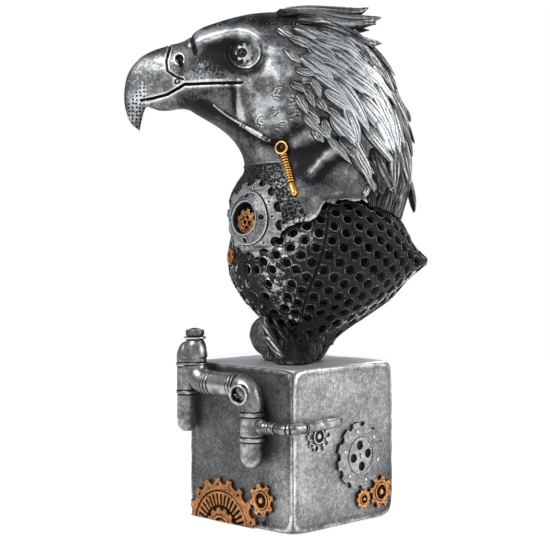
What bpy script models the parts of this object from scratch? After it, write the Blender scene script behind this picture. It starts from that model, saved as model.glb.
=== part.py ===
"""Steampunk eagle bust on a square plinth, in metres with +Z up.

The origin is the centre of the plinth's underside. The plinth's front face, with the big pipe, looks along -Y
and its gear face along +X. The bust stands on the middle of the plinth's top: a feathered foot, a hollow
perforated mantle and the head with its neck, turned to the eagle's right. The figure is laid out in parts,
FIGURE_PARTS to its height.
"""

import math

import bmesh
import bpy
import numpy as np
from mathutils import Matrix, Vector
from mathutils.bvhtree import BVHTree
from mathutils.geometry import delaunay_2d_cdt

# Plinth
PLINTH_WIDTH = 0.0900
PLINTH_HEIGHT = 0.0966
PLINTH_EDGE = 0.0042
EDGE_SEGMENTS = 3
GAP = 0.0003

# Front pipe: an upright, a run to the right and a down pipe, in one tube
PIPE_RADIUS = 0.0070
PIPE_COLLAR = 0.0005
COLLAR_HALF = 0.0007
COLLAR_FOOT = 1.3
PIPE_BEND = 0.0105
UPRIGHT_FROM_LEFT = 0.0184
UPRIGHT_STAND = 0.0117
UPRIGHT_ABOVE_TOP = 0.0215
DOWN_FROM_RIGHT = 0.0257
RUN_BELOW_TOP = 0.0111
DOWN_LENGTH = 0.0480
DOWN_COLLARS = (0.0160, 0.0307)
DOWN_COLLAR_HALF = 0.0011
RUN_COLLARS = (0.0, 1.0)
RUN_COLLAR_HALF = 0.0018
NUT_RADIUS = 0.0054
NUT_CHAMFER = 0.0010
NUT_HEIGHT = 0.0048
FLANGE_RADIUS = 0.0069
FLANGE_THICKNESS = 0.0012
FLANGE_BEVEL = 0.0006
DOME_RADIUS = 0.0078
DOME_HEIGHT = 0.0084
PORT_RADIUS = 0.0062
PORT_WALL = 0.0017
PORT_REACH = 0.0092
PORT_DEPTH = 0.0035
PORT_BEFORE_BEND = 0.0058
PORT_BELOW_RUN = 0.0032
PORT_AIM = Vector((0.22, -0.95, -0.12))
PIPE_SIDES_SETTING = 3

# Rear pipe, at the plinth's left corner, its heights measured from the plinth's top
REAR_RADIUS = 0.0061
REAR_FROM_LEFT = 0.0053
REAR_ABOVE_TOP = 0.0124
REAR_BELOW_TOP = 0.0435
REAR_COLLARS = (0.0017, 0.0187)
REAR_COLLAR_HALF = 0.0009
REAR_DOME = 0.0095

# Branch pipe, from the down pipe round the near corner into the gear face
BRANCH_RADIUS = 0.0032
BRANCH_FLANGE = 0.0047
BRANCH_BELOW_RUN = 0.0233
BRANCH_RISE = 0.0018
BRANCH_STAND = 0.0053
BRANCH_BEND = 0.0060
BRANCH_REACH = 0.0345
BRANCH_FLANGE_THICKNESS = 0.0016
BRANCH_SLEEVE = 0.0042
BRANCH_STEP = 0.0006
BRANCH_COLLARS = (0.0120, 0.0100)

# Gears on the plinth: a centre is its distance from the face's left or right edge, then its height
GEAR_THICKNESS = 0.0022
GEAR_RELIEF = 0.0010
FINE_NOTCH = 0.0024
HALF_GEAR_RADIUS = 0.0308
HALF_GEAR_TEETH = 18
HALF_GEAR_FROM_LEFT = (0.0310, -0.0040)
HALF_GEAR_RING = 0.0235
HALF_GEAR_HUB = 0.0115
HALF_GEAR_SLOTS = 30
FRONT_PINION_RADIUS = 0.0098
PINION_MESH_ANGLE = math.radians(32.5)
MESH_CLEARANCE = 0.0005
SIDE_GEAR_RADIUS = 0.0204
SIDE_GEAR_TEETH = 12
SIDE_GEAR_FROM_RIGHT = (0.0330, 0.0408)
SIDE_GEAR_HUB = 0.0115
SIDE_OPENING = 0.00275
SIDE_OPENING_OUT = 0.0065
SIDE_PINION_RADIUS = 0.0098
SIDE_MESH_ANGLE = math.radians(-52.5)
PINION_TEETH = 8
SMALL_PINION_RADIUS = 0.0058
SMALL_MESH_ANGLE = math.radians(188.5)
SMALL_PINION_TEETH = 10
IDLER_RADIUS = 0.0094
IDLER_THICKNESS = 0.0013
IDLER_FROM_LEFT = 0.0206
IDLER_BELOW_BRANCH = 0.0059
IDLER_TEETH = 10
PIT_RADIUS = 0.0026
PIT_DEPTH = 0.0015
PIT_FROM_RIGHT = (0.0238, 0.0052)

# Figure: its height above the plinth, and the parts it is laid out in
FIGURE_HEIGHT = 0.2217
FIGURE_PARTS = 221.7
PART = FIGURE_HEIGHT / FIGURE_PARTS
AXIS_BACK = 25.0
HEAD_TURN = math.radians(38.0)
GAP_PARTS = GAP / PART
HEAD_VOXEL = 1.15
HEAD_RATIO = 0.0092
FACET_ROOM = 0.6
EYE_RADIUS = 8.0
EYE_OUT = 20.5

# Mantle shell, foot and neck hem, in parts
MANTLE_WALL = 2.8
MANTLE_FOOT = 10.0
MANTLE_FRONT_RISE = 15.0
MANTLE_TUCK = 7.0
SKIRT = 3.4
HOLE_RADIUS = 4.8
HOLE_SPACING = 14.0
HOLE_SIDES = 5
HOLE_BACK_LIMIT = math.radians(144.0)
HOLE_FRONT_LIMIT = math.radians(10.0)
TORN_TURN = math.radians(132.0)
TORN_HEIGHT = 61.0
TORN_SWELL = 8.5
LOBE_CENTRE = (-6.5, -13.5, 15.0)
LOBE_RADII = (10.5, 9.0, 12.5)

# Throat gear in parts: depths are distances in front of the plinth's axis
THROAT_RADIUS = 20.5
THROAT_TEETH = 12
THROAT_HEIGHT = 87.5
THROAT_FACE = 38.4
THROAT_PLATE_BACK = 36.4
THROAT_DRUM_BACK = 34.6
THROAT_DRUM = 14.0
THROAT_DRUM_BODY = 12.6
THROAT_WINDOW = 9.0
THROAT_HOLE = 1.5
THROAT_HOLE_OUT = 15.8
THROAT_PINION_RADIUS = 8.3
THROAT_PINION_BACK = 33.6
THROAT_PINION_TEETH = 9

# Trim on the mantle and on both cheeks, in parts; courses are (forward, height)
CHEST_RING_TURN = math.radians(-24.0)
CHEST_RING_HEIGHT = 64.5
CHEST_RING_RADIUS = 5.6
JAW_ROD_RADIUS = 1.9
JAW_ROD_COURSE = ((71.3, 158.7), (61.3, 152.0), (51.3, 145.8), (42.2, 139.6), (33.6, 134.0))
CHEEK_RING_RADIUS = 4.6
CHEEK_RING_PLACE = (28.2, 130.0)
SPRING_RADIUS = 2.3
SPRING_COURSE = ((26.9, 123.6), (25.6, 116.0), (24.3, 108.5), (23.2, 102.2))

SILVER = ("antique_silver", (0.42, 0.43, 0.44), 0.38, 0.9)
DARK = ("dark_silver", (0.16, 0.16, 0.165), 0.45, 0.85)
STONE = ("plinth_grey", (0.34, 0.345, 0.35), 0.5, 0.75)
STEEL = ("pipe_steel", (0.36, 0.34, 0.335), 0.32, 0.9)
COPPER = ("worn_copper", (0.62, 0.33, 0.13), 0.38, 0.85)


def clear_scene():
    for item in list(bpy.data.objects):
        bpy.data.objects.remove(item, do_unlink=True)


def collection(name):
    made = bpy.data.collections.new(name)
    bpy.context.scene.collection.children.link(made)
    return made


def material(spec):
    name, colour, roughness, metallic = spec
    made = bpy.data.materials.get(name)
    if made is None:
        made = bpy.data.materials.new(name)
        made.use_nodes = True
        shader = made.node_tree.nodes["Principled BSDF"]
        shader.inputs["Base Color"].default_value = (*colour, 1.0)
        shader.inputs["Roughness"].default_value = roughness
        shader.inputs["Metallic"].default_value = metallic
    return made


def add_object(name, mesh, finish=None):
    """Links a mesh as a part of the bust, or as a cutter when it has no finish."""
    made = bpy.data.objects.new(name, mesh)
    if finish is None:
        CUTTERS.objects.link(made)
        made.hide_render = True
        made.display_type = "WIRE"
    else:
        BUST.objects.link(made)
        mesh.materials.append(material(finish))
    return made


def frozen(source, name, finish=None):
    """Turns an object with its modifiers into a plain mesh object in world space, welded."""
    graph = bpy.context.evaluated_depsgraph_get()
    mesh = bpy.data.meshes.new_from_object(source.evaluated_get(graph), depsgraph=graph)
    mesh.transform(source.matrix_world)
    bpy.data.objects.remove(source, do_unlink=True)
    shape = bmesh.new()
    shape.from_mesh(mesh)
    bmesh.ops.remove_doubles(shape, verts=shape.verts, dist=0.00001)
    bmesh.ops.recalc_face_normals(shape, faces=shape.faces)
    shape.to_mesh(mesh)
    shape.free()
    mesh.name = name
    mesh.materials.clear()
    return add_object(name, mesh, finish)


def boolean(target, other, operation, cross_self=False):
    change = target.modifiers.new(operation.lower(), "BOOLEAN")
    change.operation = operation
    change.object = other
    change.solver = "EXACT"
    change.use_self = cross_self
    if other.name not in CUTTERS.objects:
        for home in list(other.users_collection):
            home.objects.unlink(other)
        CUTTERS.objects.link(other)
    other.hide_render = True
    other.display_type = "WIRE"


def smooth_shade(item, angle=35.0):
    item.data.shade_smooth()
    item.data.set_sharp_from_angle(angle=math.radians(angle))


def tube(name, points, radii, finish, setting=PIPE_SIDES_SETTING):
    """A pipe along points with a radius at each, as a curve with filled caps."""
    curve = bpy.data.curves.new(name, "CURVE")
    curve.dimensions = "3D"
    curve.bevel_depth = radii[0]
    curve.bevel_resolution = setting
    curve.use_fill_caps = True
    run = curve.splines.new("POLY")
    run.points.add(len(points) - 1)
    for place, at, radius in zip(run.points, points, radii):
        place.co = (*at, 1.0)
        place.radius = radius / radii[0]
    made = bpy.data.objects.new(name, curve)
    BUST.objects.link(made)
    bpy.context.view_layer.update()
    return frozen(made, name, finish)


def turned(name, profile, steps, finish=None):
    """A solid turned about Z from (radius, height) pairs that run from the top down."""
    mesh = bpy.data.meshes.new(name)
    mesh.from_pydata([(r, 0.0, z) for r, z in profile], [(i, i + 1) for i in range(len(profile) - 1)], [])
    made = bpy.data.objects.new(name, mesh)
    BUST.objects.link(made)
    screw = made.modifiers.new("screw", "SCREW")
    screw.steps = steps
    screw.render_steps = steps
    screw.use_merge_vertices = True
    screw.merge_threshold = 0.00001
    bpy.context.view_layer.update()
    return frozen(made, name, finish)


def plate(name, loops, thickness, finish=None):
    """A flat plate in XY from closed outlines, holes included, standing on z = 0."""
    curve = bpy.data.curves.new(name, "CURVE")
    curve.dimensions = "2D"
    curve.fill_mode = "BOTH"
    curve.extrude = thickness / 2
    for loop in loops:
        ring = curve.splines.new("POLY")
        ring.points.add(len(loop) - 1)
        for place, (x, y) in zip(ring.points, loop):
            place.co = (x, y, 0.0, 1.0)
        ring.use_cyclic_u = True
    made = bpy.data.objects.new(name, curve)
    made.location.z = thickness / 2
    BUST.objects.link(made)
    bpy.context.view_layer.update()
    return frozen(made, name, finish)


def circle(radius, sides, centre=(0.0, 0.0), phase=0.0):
    return [
        (
            centre[0] + radius * math.cos(phase + 2 * math.pi * i / sides),
            centre[1] + radius * math.sin(phase + 2 * math.pi * i / sides),
        )
        for i in range(sides)
    ]


def gear_outline(radius, teeth, notch, phase):
    """A toothed outline whose gullets are round bites out of the rim, the first one at phase."""
    points = []
    arc_steps = 3 if notch > FINE_NOTCH else 2
    for tooth in range(teeth):
        angle = phase + 2 * math.pi * tooth / teeth
        out = (math.cos(angle), math.sin(angle))
        along = (-out[1], out[0])
        for k in range(arc_steps + 1):
            turn = math.pi * k / arc_steps
            side = -notch * math.cos(turn)
            depth = notch * math.sin(turn)
            points.append(tuple(out[a] * (radius - depth) + along[a] * side for a in (0, 1)))
    return points


def gear(name, radius, teeth, thickness, finish, phase=0.0, holes=(), hub=None, notch_share=0.62):
    """A gear in XY standing on z = 0, with round gullets and a turned hub."""
    notch = notch_share * math.pi * radius / teeth
    body = plate(name, [gear_outline(radius, teeth, notch, phase), *holes], thickness, finish)
    if hub:
        ring, relief = hub
        top = thickness + relief
        base = thickness * 0.5
        profile = [
            (0.0, top),
            (ring * 0.30, thickness + relief * 0.6),
            (ring * 0.42, thickness + relief * 0.15),
            (ring * 0.74, thickness + relief * 0.15),
            (ring * 0.82, top),
            (ring, top),
            (ring, base),
            (0.0, base),
        ]
        boolean(body, turned(name + "_hub", profile, 8), "UNION")
        bpy.context.view_layer.update()
        body = frozen(body, name, finish)
    return body


def place_on_front(item, centre, lift=GAP):
    """Carries a piece made in XY onto the plinth's front face, its back lift away from it."""
    item.data.transform(Matrix.Rotation(math.pi / 2, 4, "X"))
    item.data.transform(Matrix.Translation((centre[0], -PLINTH_WIDTH / 2 - lift, centre[1])))


def place_on_side(item, centre, lift=GAP):
    """Carries a piece made in XY onto the gear face: its x becomes +Y and its z becomes +X."""
    item.data.transform(Matrix(((0, 0, 1, 0), (1, 0, 0, 0), (0, 1, 0, 0), (0, 0, 0, 1))))
    item.data.transform(Matrix.Translation((PLINTH_WIDTH / 2 + lift, centre[0], centre[1])))


def bend_points(corner, before, after, radius, steps):
    """Points of a round bend at a corner, between the unit directions before and after."""
    corner, before, after = Vector(corner), Vector(before), Vector(after)
    angle = before.angle(after)
    reach = radius * math.tan(angle / 2)
    start = corner - before * reach
    side = (after - before * before.dot(after)).normalized()
    centre = start + side * radius
    return [
        centre - side * radius * math.cos(angle * k / steps) + before * radius * math.sin(angle * k / steps)
        for k in range(steps + 1)
    ]


def collar(position, direction, radius, rise, half=COLLAR_HALF):
    """Four points and radii of a raised band around a pipe, its foot a little wider than its top."""
    steps = ((-half * COLLAR_FOOT, 0.0), (-half, rise), (half, rise), (half * COLLAR_FOOT, 0.0))
    return [(position + direction * s, radius + up) for s, up in steps]


def rounded_end(tip, back, radius):
    """Points and radii of a pipe's rounded closed end at tip, reached from back along the pipe."""
    turns = (math.pi / 2 * share for share in (0.0, 0.4, 0.8))
    return [(tip + back * (radius * (1 - math.sin(t))), radius * math.cos(t)) for t in turns]


def build_plinth():
    bpy.ops.mesh.primitive_cube_add(size=1.0, location=(0.0, 0.0, PLINTH_HEIGHT / 2))
    plinth = bpy.context.active_object
    plinth.name = "plinth"
    plinth.data.name = "plinth"
    plinth.data.transform(Matrix.Diagonal((PLINTH_WIDTH, PLINTH_WIDTH, PLINTH_HEIGHT, 1.0)))
    for home in list(plinth.users_collection):
        home.objects.unlink(plinth)
    BUST.objects.link(plinth)
    plinth.data.materials.append(material(STONE))
    rounding = plinth.modifiers.new("edges", "BEVEL")
    rounding.width = PLINTH_EDGE
    rounding.segments = EDGE_SEGMENTS
    profile = [(0.0, PIT_DEPTH), (PIT_RADIUS, PIT_DEPTH), (PIT_RADIUS, -PIT_DEPTH), (0.0, -PIT_DEPTH)]
    pit = turned("pit_cutter", profile, 12)
    place_on_front(pit, (PLINTH_WIDTH / 2 - PIT_FROM_RIGHT[0], PIT_FROM_RIGHT[1]), 0.0)
    boolean(plinth, pit, "DIFFERENCE")


def down_pipe_axis():
    """The plan place of the down pipe's axis, resting against the plinth's front face."""
    stand_off = PIPE_RADIUS + PIPE_COLLAR + GAP
    return Vector((PLINTH_WIDTH / 2 - DOWN_FROM_RIGHT, -PLINTH_WIDTH / 2 - stand_off, 0))


def build_front_pipe():
    down, up = Vector((0, 0, -1)), Vector((0, 0, 1))
    upright = Vector((UPRIGHT_FROM_LEFT - PLINTH_WIDTH / 2, -PLINTH_WIDTH / 2 - UPRIGHT_STAND, 0))
    drop = down_pipe_axis()
    run = (drop - upright).normalized()
    run_height = PLINTH_HEIGHT - RUN_BELOW_TOP
    top = upright + up * (PLINTH_HEIGHT + UPRIGHT_ABOVE_TOP)
    flange = top + down * (NUT_HEIGHT + FLANGE_BEVEL)
    dome = flange + down * (FLANGE_THICKNESS + FLANGE_BEVEL)
    rings = [
        (top, NUT_RADIUS * 0.70),
        (top + down * (NUT_CHAMFER * 0.7), NUT_RADIUS * 0.74),
        (top + down * NUT_CHAMFER, NUT_RADIUS),
        (top + down * NUT_HEIGHT, NUT_RADIUS),
        (flange, FLANGE_RADIUS),
        (flange + down * FLANGE_THICKNESS, FLANGE_RADIUS),
        (dome, DOME_RADIUS * 0.70),
        (dome + down * (DOME_HEIGHT * 0.46), DOME_RADIUS * 0.88),
        (dome + down * DOME_HEIGHT, DOME_RADIUS * 0.98),
    ]
    first_corner = upright + up * run_height
    second_corner = drop + up * run_height
    lip = first_corner + up * (PIPE_BEND + COLLAR_HALF * COLLAR_FOOT)
    rings += collar(lip, down, PIPE_RADIUS, DOME_RADIUS - PIPE_RADIUS)
    rings += [(p, PIPE_RADIUS) for p in bend_points(first_corner, down, run, PIPE_BEND, 4)[1:]]
    inset = PIPE_BEND + RUN_COLLAR_HALF * COLLAR_FOOT + PIPE_COLLAR * 0.5
    straight = (second_corner - first_corner).length - 2 * inset
    for share in RUN_COLLARS:
        band = first_corner + run * (inset + straight * share)
        rings += collar(band, run, PIPE_RADIUS, PIPE_COLLAR, RUN_COLLAR_HALF)
    rings += [(p, PIPE_RADIUS) for p in bend_points(second_corner, run, down, PIPE_BEND, 5)]
    for below in DOWN_COLLARS:
        rings += collar(second_corner + down * below, down, PIPE_RADIUS, PIPE_COLLAR, DOWN_COLLAR_HALF)
    rings += rounded_end(second_corner + down * DOWN_LENGTH, up, PIPE_RADIUS)
    pipe = tube("front_pipe", [r[0] for r in rings], [r[1] for r in rings], STEEL)
    port_at = second_corner - run * (PIPE_BEND - PORT_BEFORE_BEND) + down * PORT_BELOW_RUN
    turn_to = up.rotation_difference(PORT_AIM.normalized()).to_matrix().to_4x4()
    inner = PORT_RADIUS - PORT_WALL
    stub = turned(
        "port_stub",
        [
            (0.0, PORT_REACH - PORT_DEPTH),
            (inner, PORT_REACH - PORT_DEPTH),
            (inner, PORT_REACH),
            (PORT_RADIUS, PORT_REACH),
            (PORT_RADIUS, 0.0),
            (0.0, 0.0),
        ],
        12,
    )
    stub.data.transform(Matrix.Translation(port_at) @ turn_to)
    boolean(pipe, stub, "UNION", cross_self=True)
    bpy.context.view_layer.update()
    smooth_shade(frozen(pipe, "front_pipe", STEEL))


def build_rear_pipe():
    down, up = Vector((0, 0, -1)), Vector((0, 0, 1))
    half = PLINTH_WIDTH / 2
    level = Vector((REAR_FROM_LEFT - half, -half - REAR_RADIUS - PIPE_COLLAR - GAP, PLINTH_HEIGHT))
    rings = [
        (level + up * (REAR_ABOVE_TOP - REAR_DOME * (1 - math.cos(t))), REAR_RADIUS * math.sin(t))
        for t in (math.pi / 2 * share for share in (0.22, 0.5, 0.75, 1.0))
    ]
    for below in REAR_COLLARS:
        rings += collar(level + down * below, down, REAR_RADIUS, PIPE_COLLAR, REAR_COLLAR_HALF)
    rings += rounded_end(level + down * REAR_BELOW_TOP, up, REAR_RADIUS)
    smooth_shade(tube("rear_pipe", [r[0] for r in rings], [r[1] for r in rings], STEEL, 3))


def branch_height():
    """The height at which the branch pipe leaves the down pipe."""
    return PLINTH_HEIGHT - RUN_BELOW_TOP - BRANCH_BELOW_RUN


def build_branch_pipe():
    half = PLINTH_WIDTH / 2
    drop = down_pipe_axis()
    height = branch_height()
    start = drop + Vector((PIPE_RADIUS + PIPE_COLLAR + GAP, 0, height))
    corner = Vector((half + BRANCH_STAND, drop.y, height + BRANCH_RISE * 0.4))
    end_corner = Vector((half + BRANCH_STAND, BRANCH_REACH - half, height + BRANCH_RISE))
    out = (corner - start).normalized()
    back = (end_corner - corner).normalized()
    inward = Vector((-1, 0, 0))
    rings = [
        (start, BRANCH_FLANGE),
        (start + out * BRANCH_FLANGE_THICKNESS, BRANCH_FLANGE),
        (start + out * (BRANCH_FLANGE_THICKNESS + BRANCH_STEP), BRANCH_RADIUS * 1.12),
        (start + out * BRANCH_SLEEVE, BRANCH_RADIUS * 1.12),
        (start + out * (BRANCH_SLEEVE + BRANCH_STEP), BRANCH_RADIUS),
    ]
    rings += collar(start + out * BRANCH_COLLARS[0], out, BRANCH_RADIUS, PIPE_COLLAR)
    rings += [(p, BRANCH_RADIUS) for p in bend_points(corner, out, back, BRANCH_BEND, 3)]
    rings += collar(corner + back * BRANCH_COLLARS[1], back, BRANCH_RADIUS, PIPE_COLLAR)
    rings += [(p, BRANCH_RADIUS) for p in bend_points(end_corner, back, inward, BRANCH_RADIUS * 1.15, 3)]
    rings.append((Vector((half + GAP, end_corner.y, end_corner.z)), BRANCH_RADIUS))
    smooth_shade(tube("branch_pipe", [r[0] for r in rings], [r[1] for r in rings], STEEL, 2))


def meshed_centre(centre, radius, other, angle):
    """The centre of a gear that meshes with another, in the direction angle from it."""
    reach = radius + other + MESH_CLEARANCE
    return (centre[0] + reach * math.cos(angle), centre[1] + reach * math.sin(angle))


def build_front_gears():
    half = PLINTH_WIDTH / 2
    centre = (HALF_GEAR_FROM_LEFT[0] - half, HALF_GEAR_FROM_LEFT[1])
    slots = []
    inner, outer = HALF_GEAR_HUB * 1.16, HALF_GEAR_RING * 0.89
    for k in range(HALF_GEAR_SLOTS):
        angle = 2 * math.pi * k / HALF_GEAR_SLOTS
        out, along = (math.cos(angle), math.sin(angle)), (-math.sin(angle), math.cos(angle))
        corners = ((inner, -0.00035), (outer, -0.0006), (outer, 0.0006), (inner, 0.00035))
        loop = [tuple(out[a] * r + along[a] * s for a in (0, 1)) for r, s in corners]
        if all(centre[1] + y > 0.0012 for _, y in loop):
            slots.append(loop)
    big = gear(
        "half_gear", HALF_GEAR_RADIUS, HALF_GEAR_TEETH, GEAR_THICKNESS, COPPER,
        phase=math.radians(86.4), holes=slots, hub=(HALF_GEAR_HUB * 0.62, GEAR_RELIEF),
    )
    bpy.ops.mesh.primitive_cube_add(size=1.0)
    keep = bpy.context.active_object
    keep.name = "half_gear_trim"
    low = GAP * 2 - centre[1]
    left = -half + PLINTH_EDGE * 0.45 - centre[0]
    span = HALF_GEAR_RADIUS * 3
    keep.data.transform(Matrix.Translation((0.5, 0.5, 0.0)))
    keep.data.transform(Matrix.Diagonal((span, span, GEAR_THICKNESS * 6, 1.0)))
    keep.data.transform(Matrix.Translation((left, low, 0)))
    boolean(big, keep, "INTERSECT")
    bpy.context.view_layer.update()
    place_on_front(frozen(big, "half_gear", COPPER), centre)
    pinion = gear(
        "front_pinion", FRONT_PINION_RADIUS, PINION_TEETH, GEAR_THICKNESS, COPPER,
        phase=math.radians(82.0), hub=(FRONT_PINION_RADIUS * 0.56, GEAR_RELIEF),
    )
    place_on_front(pinion, meshed_centre(centre, HALF_GEAR_RADIUS, FRONT_PINION_RADIUS, PINION_MESH_ANGLE))


def build_side_gears():
    half = PLINTH_WIDTH / 2
    centre = (half - SIDE_GEAR_FROM_RIGHT[0], SIDE_GEAR_FROM_RIGHT[1])
    openings = [
        circle(SIDE_OPENING, 5, (SIDE_OPENING_OUT * math.cos(a), SIDE_OPENING_OUT * math.sin(a)))
        for a in (math.radians(8.0 + 90.0 * k) for k in range(4))
    ]
    big = gear(
        "side_gear", SIDE_GEAR_RADIUS, SIDE_GEAR_TEETH, GEAR_THICKNESS, SILVER,
        phase=math.radians(87.0), holes=openings, notch_share=0.46,
    )
    rim_loops = [circle(SIDE_GEAR_HUB, 14), circle(SIDE_GEAR_HUB * 0.86, 14)]
    rim = plate("side_gear_rim", rim_loops, GEAR_RELIEF * 1.2)
    rim.data.transform(Matrix.Translation((0, 0, GEAR_THICKNESS - GEAR_RELIEF * 0.4)))
    boolean(big, rim, "UNION")
    bpy.context.view_layer.update()
    place_on_side(frozen(big, "side_gear", SILVER), centre)
    pinion_centre = meshed_centre(centre, SIDE_GEAR_RADIUS, SIDE_PINION_RADIUS, SIDE_MESH_ANGLE)
    pinion = gear(
        "side_pinion", SIDE_PINION_RADIUS, PINION_TEETH, GEAR_THICKNESS, COPPER,
        phase=math.radians(100.0), hub=(SIDE_PINION_RADIUS * 0.56, GEAR_RELIEF),
    )
    place_on_side(pinion, pinion_centre)
    small = gear(
        "small_pinion", SMALL_PINION_RADIUS, SMALL_PINION_TEETH, GEAR_THICKNESS, COPPER,
        phase=math.radians(18.0), hub=(SMALL_PINION_RADIUS * 0.6, GEAR_RELIEF * 0.8),
    )
    small_centre = meshed_centre(pinion_centre, SIDE_PINION_RADIUS, SMALL_PINION_RADIUS, SMALL_MESH_ANGLE)
    place_on_side(small, small_centre)
    idler = gear(
        "idler_gear", IDLER_RADIUS, IDLER_TEETH, IDLER_THICKNESS, SILVER, phase=math.radians(90.0),
    )
    place_on_side(idler, (IDLER_FROM_LEFT - half, branch_height() - IDLER_BELOW_BRANCH))


def smooth_table(rows, shares):
    """Reads a table of rows at the given shares of its length, along a smooth curve through the rows."""
    rows = np.asarray(rows, float)
    at = np.clip(np.asarray(shares, float), 0, 1) * (len(rows) - 1)
    low = np.minimum(at.astype(int), len(rows) - 2)
    t = (at - low)[:, None]
    p1, p2 = rows[low], rows[low + 1]
    p0 = np.where(low[:, None] > 0, rows[np.maximum(low - 1, 0)], 2 * p1 - p2)
    p3 = np.where(low[:, None] < len(rows) - 2, rows[np.minimum(low + 2, len(rows) - 1)], 2 * p2 - p1)
    bend, twist = 2 * p0 - 5 * p1 + 4 * p2 - p3, 3 * p1 - p0 - 3 * p2 + p3
    return 0.5 * (2 * p1 + (p2 - p0) * t + bend * t**2 + twist * t**3)


# Mantle sections in parts: height, centre back from the plinth's axis, half width, reach front and back
MANTLE_SECTIONS = (
    (8.0, 5.0, 20.0, 21.0),
    (16.0, 10.5, 23.0, 25.0),
    (27.0, 19.5, 32.5, 36.5),
    (37.0, 23.5, 43.5, 49.0),
    (50.0, 26.0, 52.5, 59.0),
    (61.0, 27.5, 55.5, 62.5),
    (71.0, 27.5, 55.0, 62.0),
    (81.0, 26.5, 51.5, 58.5),
    (91.0, 25.0, 46.5, 52.5),
    (103.0, 25.0, 38.0, 42.0),
    (112.0, 25.0, 24.0, 26.0),
)


def mantle_section(height):
    """Centre, half width and reach of the mantle at each height, in parts."""
    heights = np.array([row[0] for row in MANTLE_SECTIONS])
    share = np.interp(height, heights, np.linspace(0, 1, len(heights)))
    read = smooth_table(MANTLE_SECTIONS, np.atleast_1d(share))
    return read[:, 1], read[:, 2], read[:, 3]


def mantle_point(angle, height, inset=0.0):
    """A point of the mantle's outer face: angle 0 looks front and pi / 2 to the eagle's left."""
    angle, height = np.atleast_1d(angle), np.atleast_1d(height)
    centre, half, reach = mantle_section(height)
    off = (np.abs(np.arctan2(np.sin(angle), np.cos(angle))) - TORN_TURN) / math.radians(14.0)
    swell = TORN_SWELL * np.exp(-(off**2) - ((height - TORN_HEIGHT) / 7.0) ** 2)
    x = (half - inset + swell) * np.sin(angle)
    y = centre - (reach - inset + swell) * np.cos(angle)
    return np.stack([x, y, height * np.ones_like(x)], axis=-1)


def hem_height(angle):
    """The height of the neck's lower edge over the mantle, in parts, round the bust."""
    turn = np.abs(np.degrees(np.arctan2(np.sin(angle), np.cos(angle))))
    return np.interp(turn, (0, 14, 30, 44, 50, 78, 100, 125, 180), (70, 76, 84, 88, 97, 99, 97, 94, 92))


def figure_matrix():
    """Parts to metres: the figure stands on the plinth's top."""
    return Matrix.Translation((0, 0, PLINTH_HEIGHT)) @ Matrix.Diagonal((PART, PART, PART, 1.0))


def figure_mesh(name, points, faces):
    mesh = bpy.data.meshes.new(name)
    mesh.from_pydata([tuple(p) for p in points], [], faces)
    mesh.transform(figure_matrix())
    mesh.update()
    return mesh


def ring_faces(rows, columns, closed_ends=True):
    """Quads between closed rings, with a flat cap on the first and the last ring."""
    faces = []
    for i in range(rows - 1):
        for j in range(columns):
            k = (j + 1) % columns
            faces.append((i * columns + j, i * columns + k, (i + 1) * columns + k, (i + 1) * columns + j))
    if closed_ends:
        faces.append(tuple(range(columns - 1, -1, -1)))
        faces.append(tuple((rows - 1) * columns + j for j in range(columns)))
    return faces


def mantle_envelope(name, extra, low_edge, columns, rows):
    """The mantle's outer form above a lower edge as one solid, grown by extra parts, to cut others with."""
    angles = np.linspace(0, 2 * math.pi, columns, endpoint=False)
    low = low_edge(angles)
    base = mantle_point(angles, low)
    middle = base.mean(axis=0)
    points = list(middle + (base - middle) * (0.3, 0.3, 0.0) - (0.0, 0.0, middle[2] - low.min() + 1.0))
    rows += 1
    for share in np.linspace(0, 1, rows - 1) ** 1.6:
        heights = low + (MANTLE_SECTIONS[-1][0] - low) * share
        points.extend(mantle_point(angles, heights, -extra) + np.array([0, 0, extra if share > 0.5 else 0.0]))
    return figure_mesh(name, points, ring_faces(rows, columns))


def mantle_lower_edge(angle):
    """The torn lower edge of the mantle, in parts: it rises in front, over the foot's round lobe."""
    turn = np.abs(np.arctan2(np.sin(angle), np.cos(angle)))
    ragged = 1.2 * np.sin(5 * turn + 0.6) + 0.8 * np.sin(11 * turn)
    return MANTLE_FOOT + MANTLE_FRONT_RISE * np.exp(-((turn / 0.62) ** 2)) + ragged


def mantle_upper_edge(angle):
    return hem_height(angle) + MANTLE_TUCK


def hole_centres():
    """Angles and heights of the mantle's holes on the left half, on a lattice bent round the shell."""
    rise = HOLE_SPACING * math.sqrt(3) / 2
    centres = []
    height, row = float(MANTLE_FOOT) + 6.5, 0
    while height < 100.0:
        centre, half, reach = (float(v[0]) for v in mantle_section(height))
        mean = math.sqrt((half * half + reach * reach) / 2)
        step = HOLE_SPACING / mean
        first = math.pi / 2 + (row % 2) * step / 2
        for k in range(-40, 41):
            angle = first + k * step
            inside = HOLE_FRONT_LIMIT < angle < HOLE_BACK_LIMIT
            above = height > mantle_lower_edge(angle) + HOLE_RADIUS + 2.2
            below = height < hem_height(angle) - 1.0
            if inside and above and below:
                centres.append((angle, height))
        lower = mantle_point(math.pi / 2, height)[0]
        probe = mantle_point(math.pi / 2, height + 1.0)[0]
        height += rise / float(np.linalg.norm(probe - lower))
        row += 1
    return centres


def surface_frame(angle, height):
    """A point of the mantle with its level and rising tangents."""
    at = mantle_point(angle, height)[0]
    level = mantle_point(angle + 0.01, height)[0] - at
    rising = mantle_point(angle, height + 0.2)[0] - at
    return at, level, rising


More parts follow.
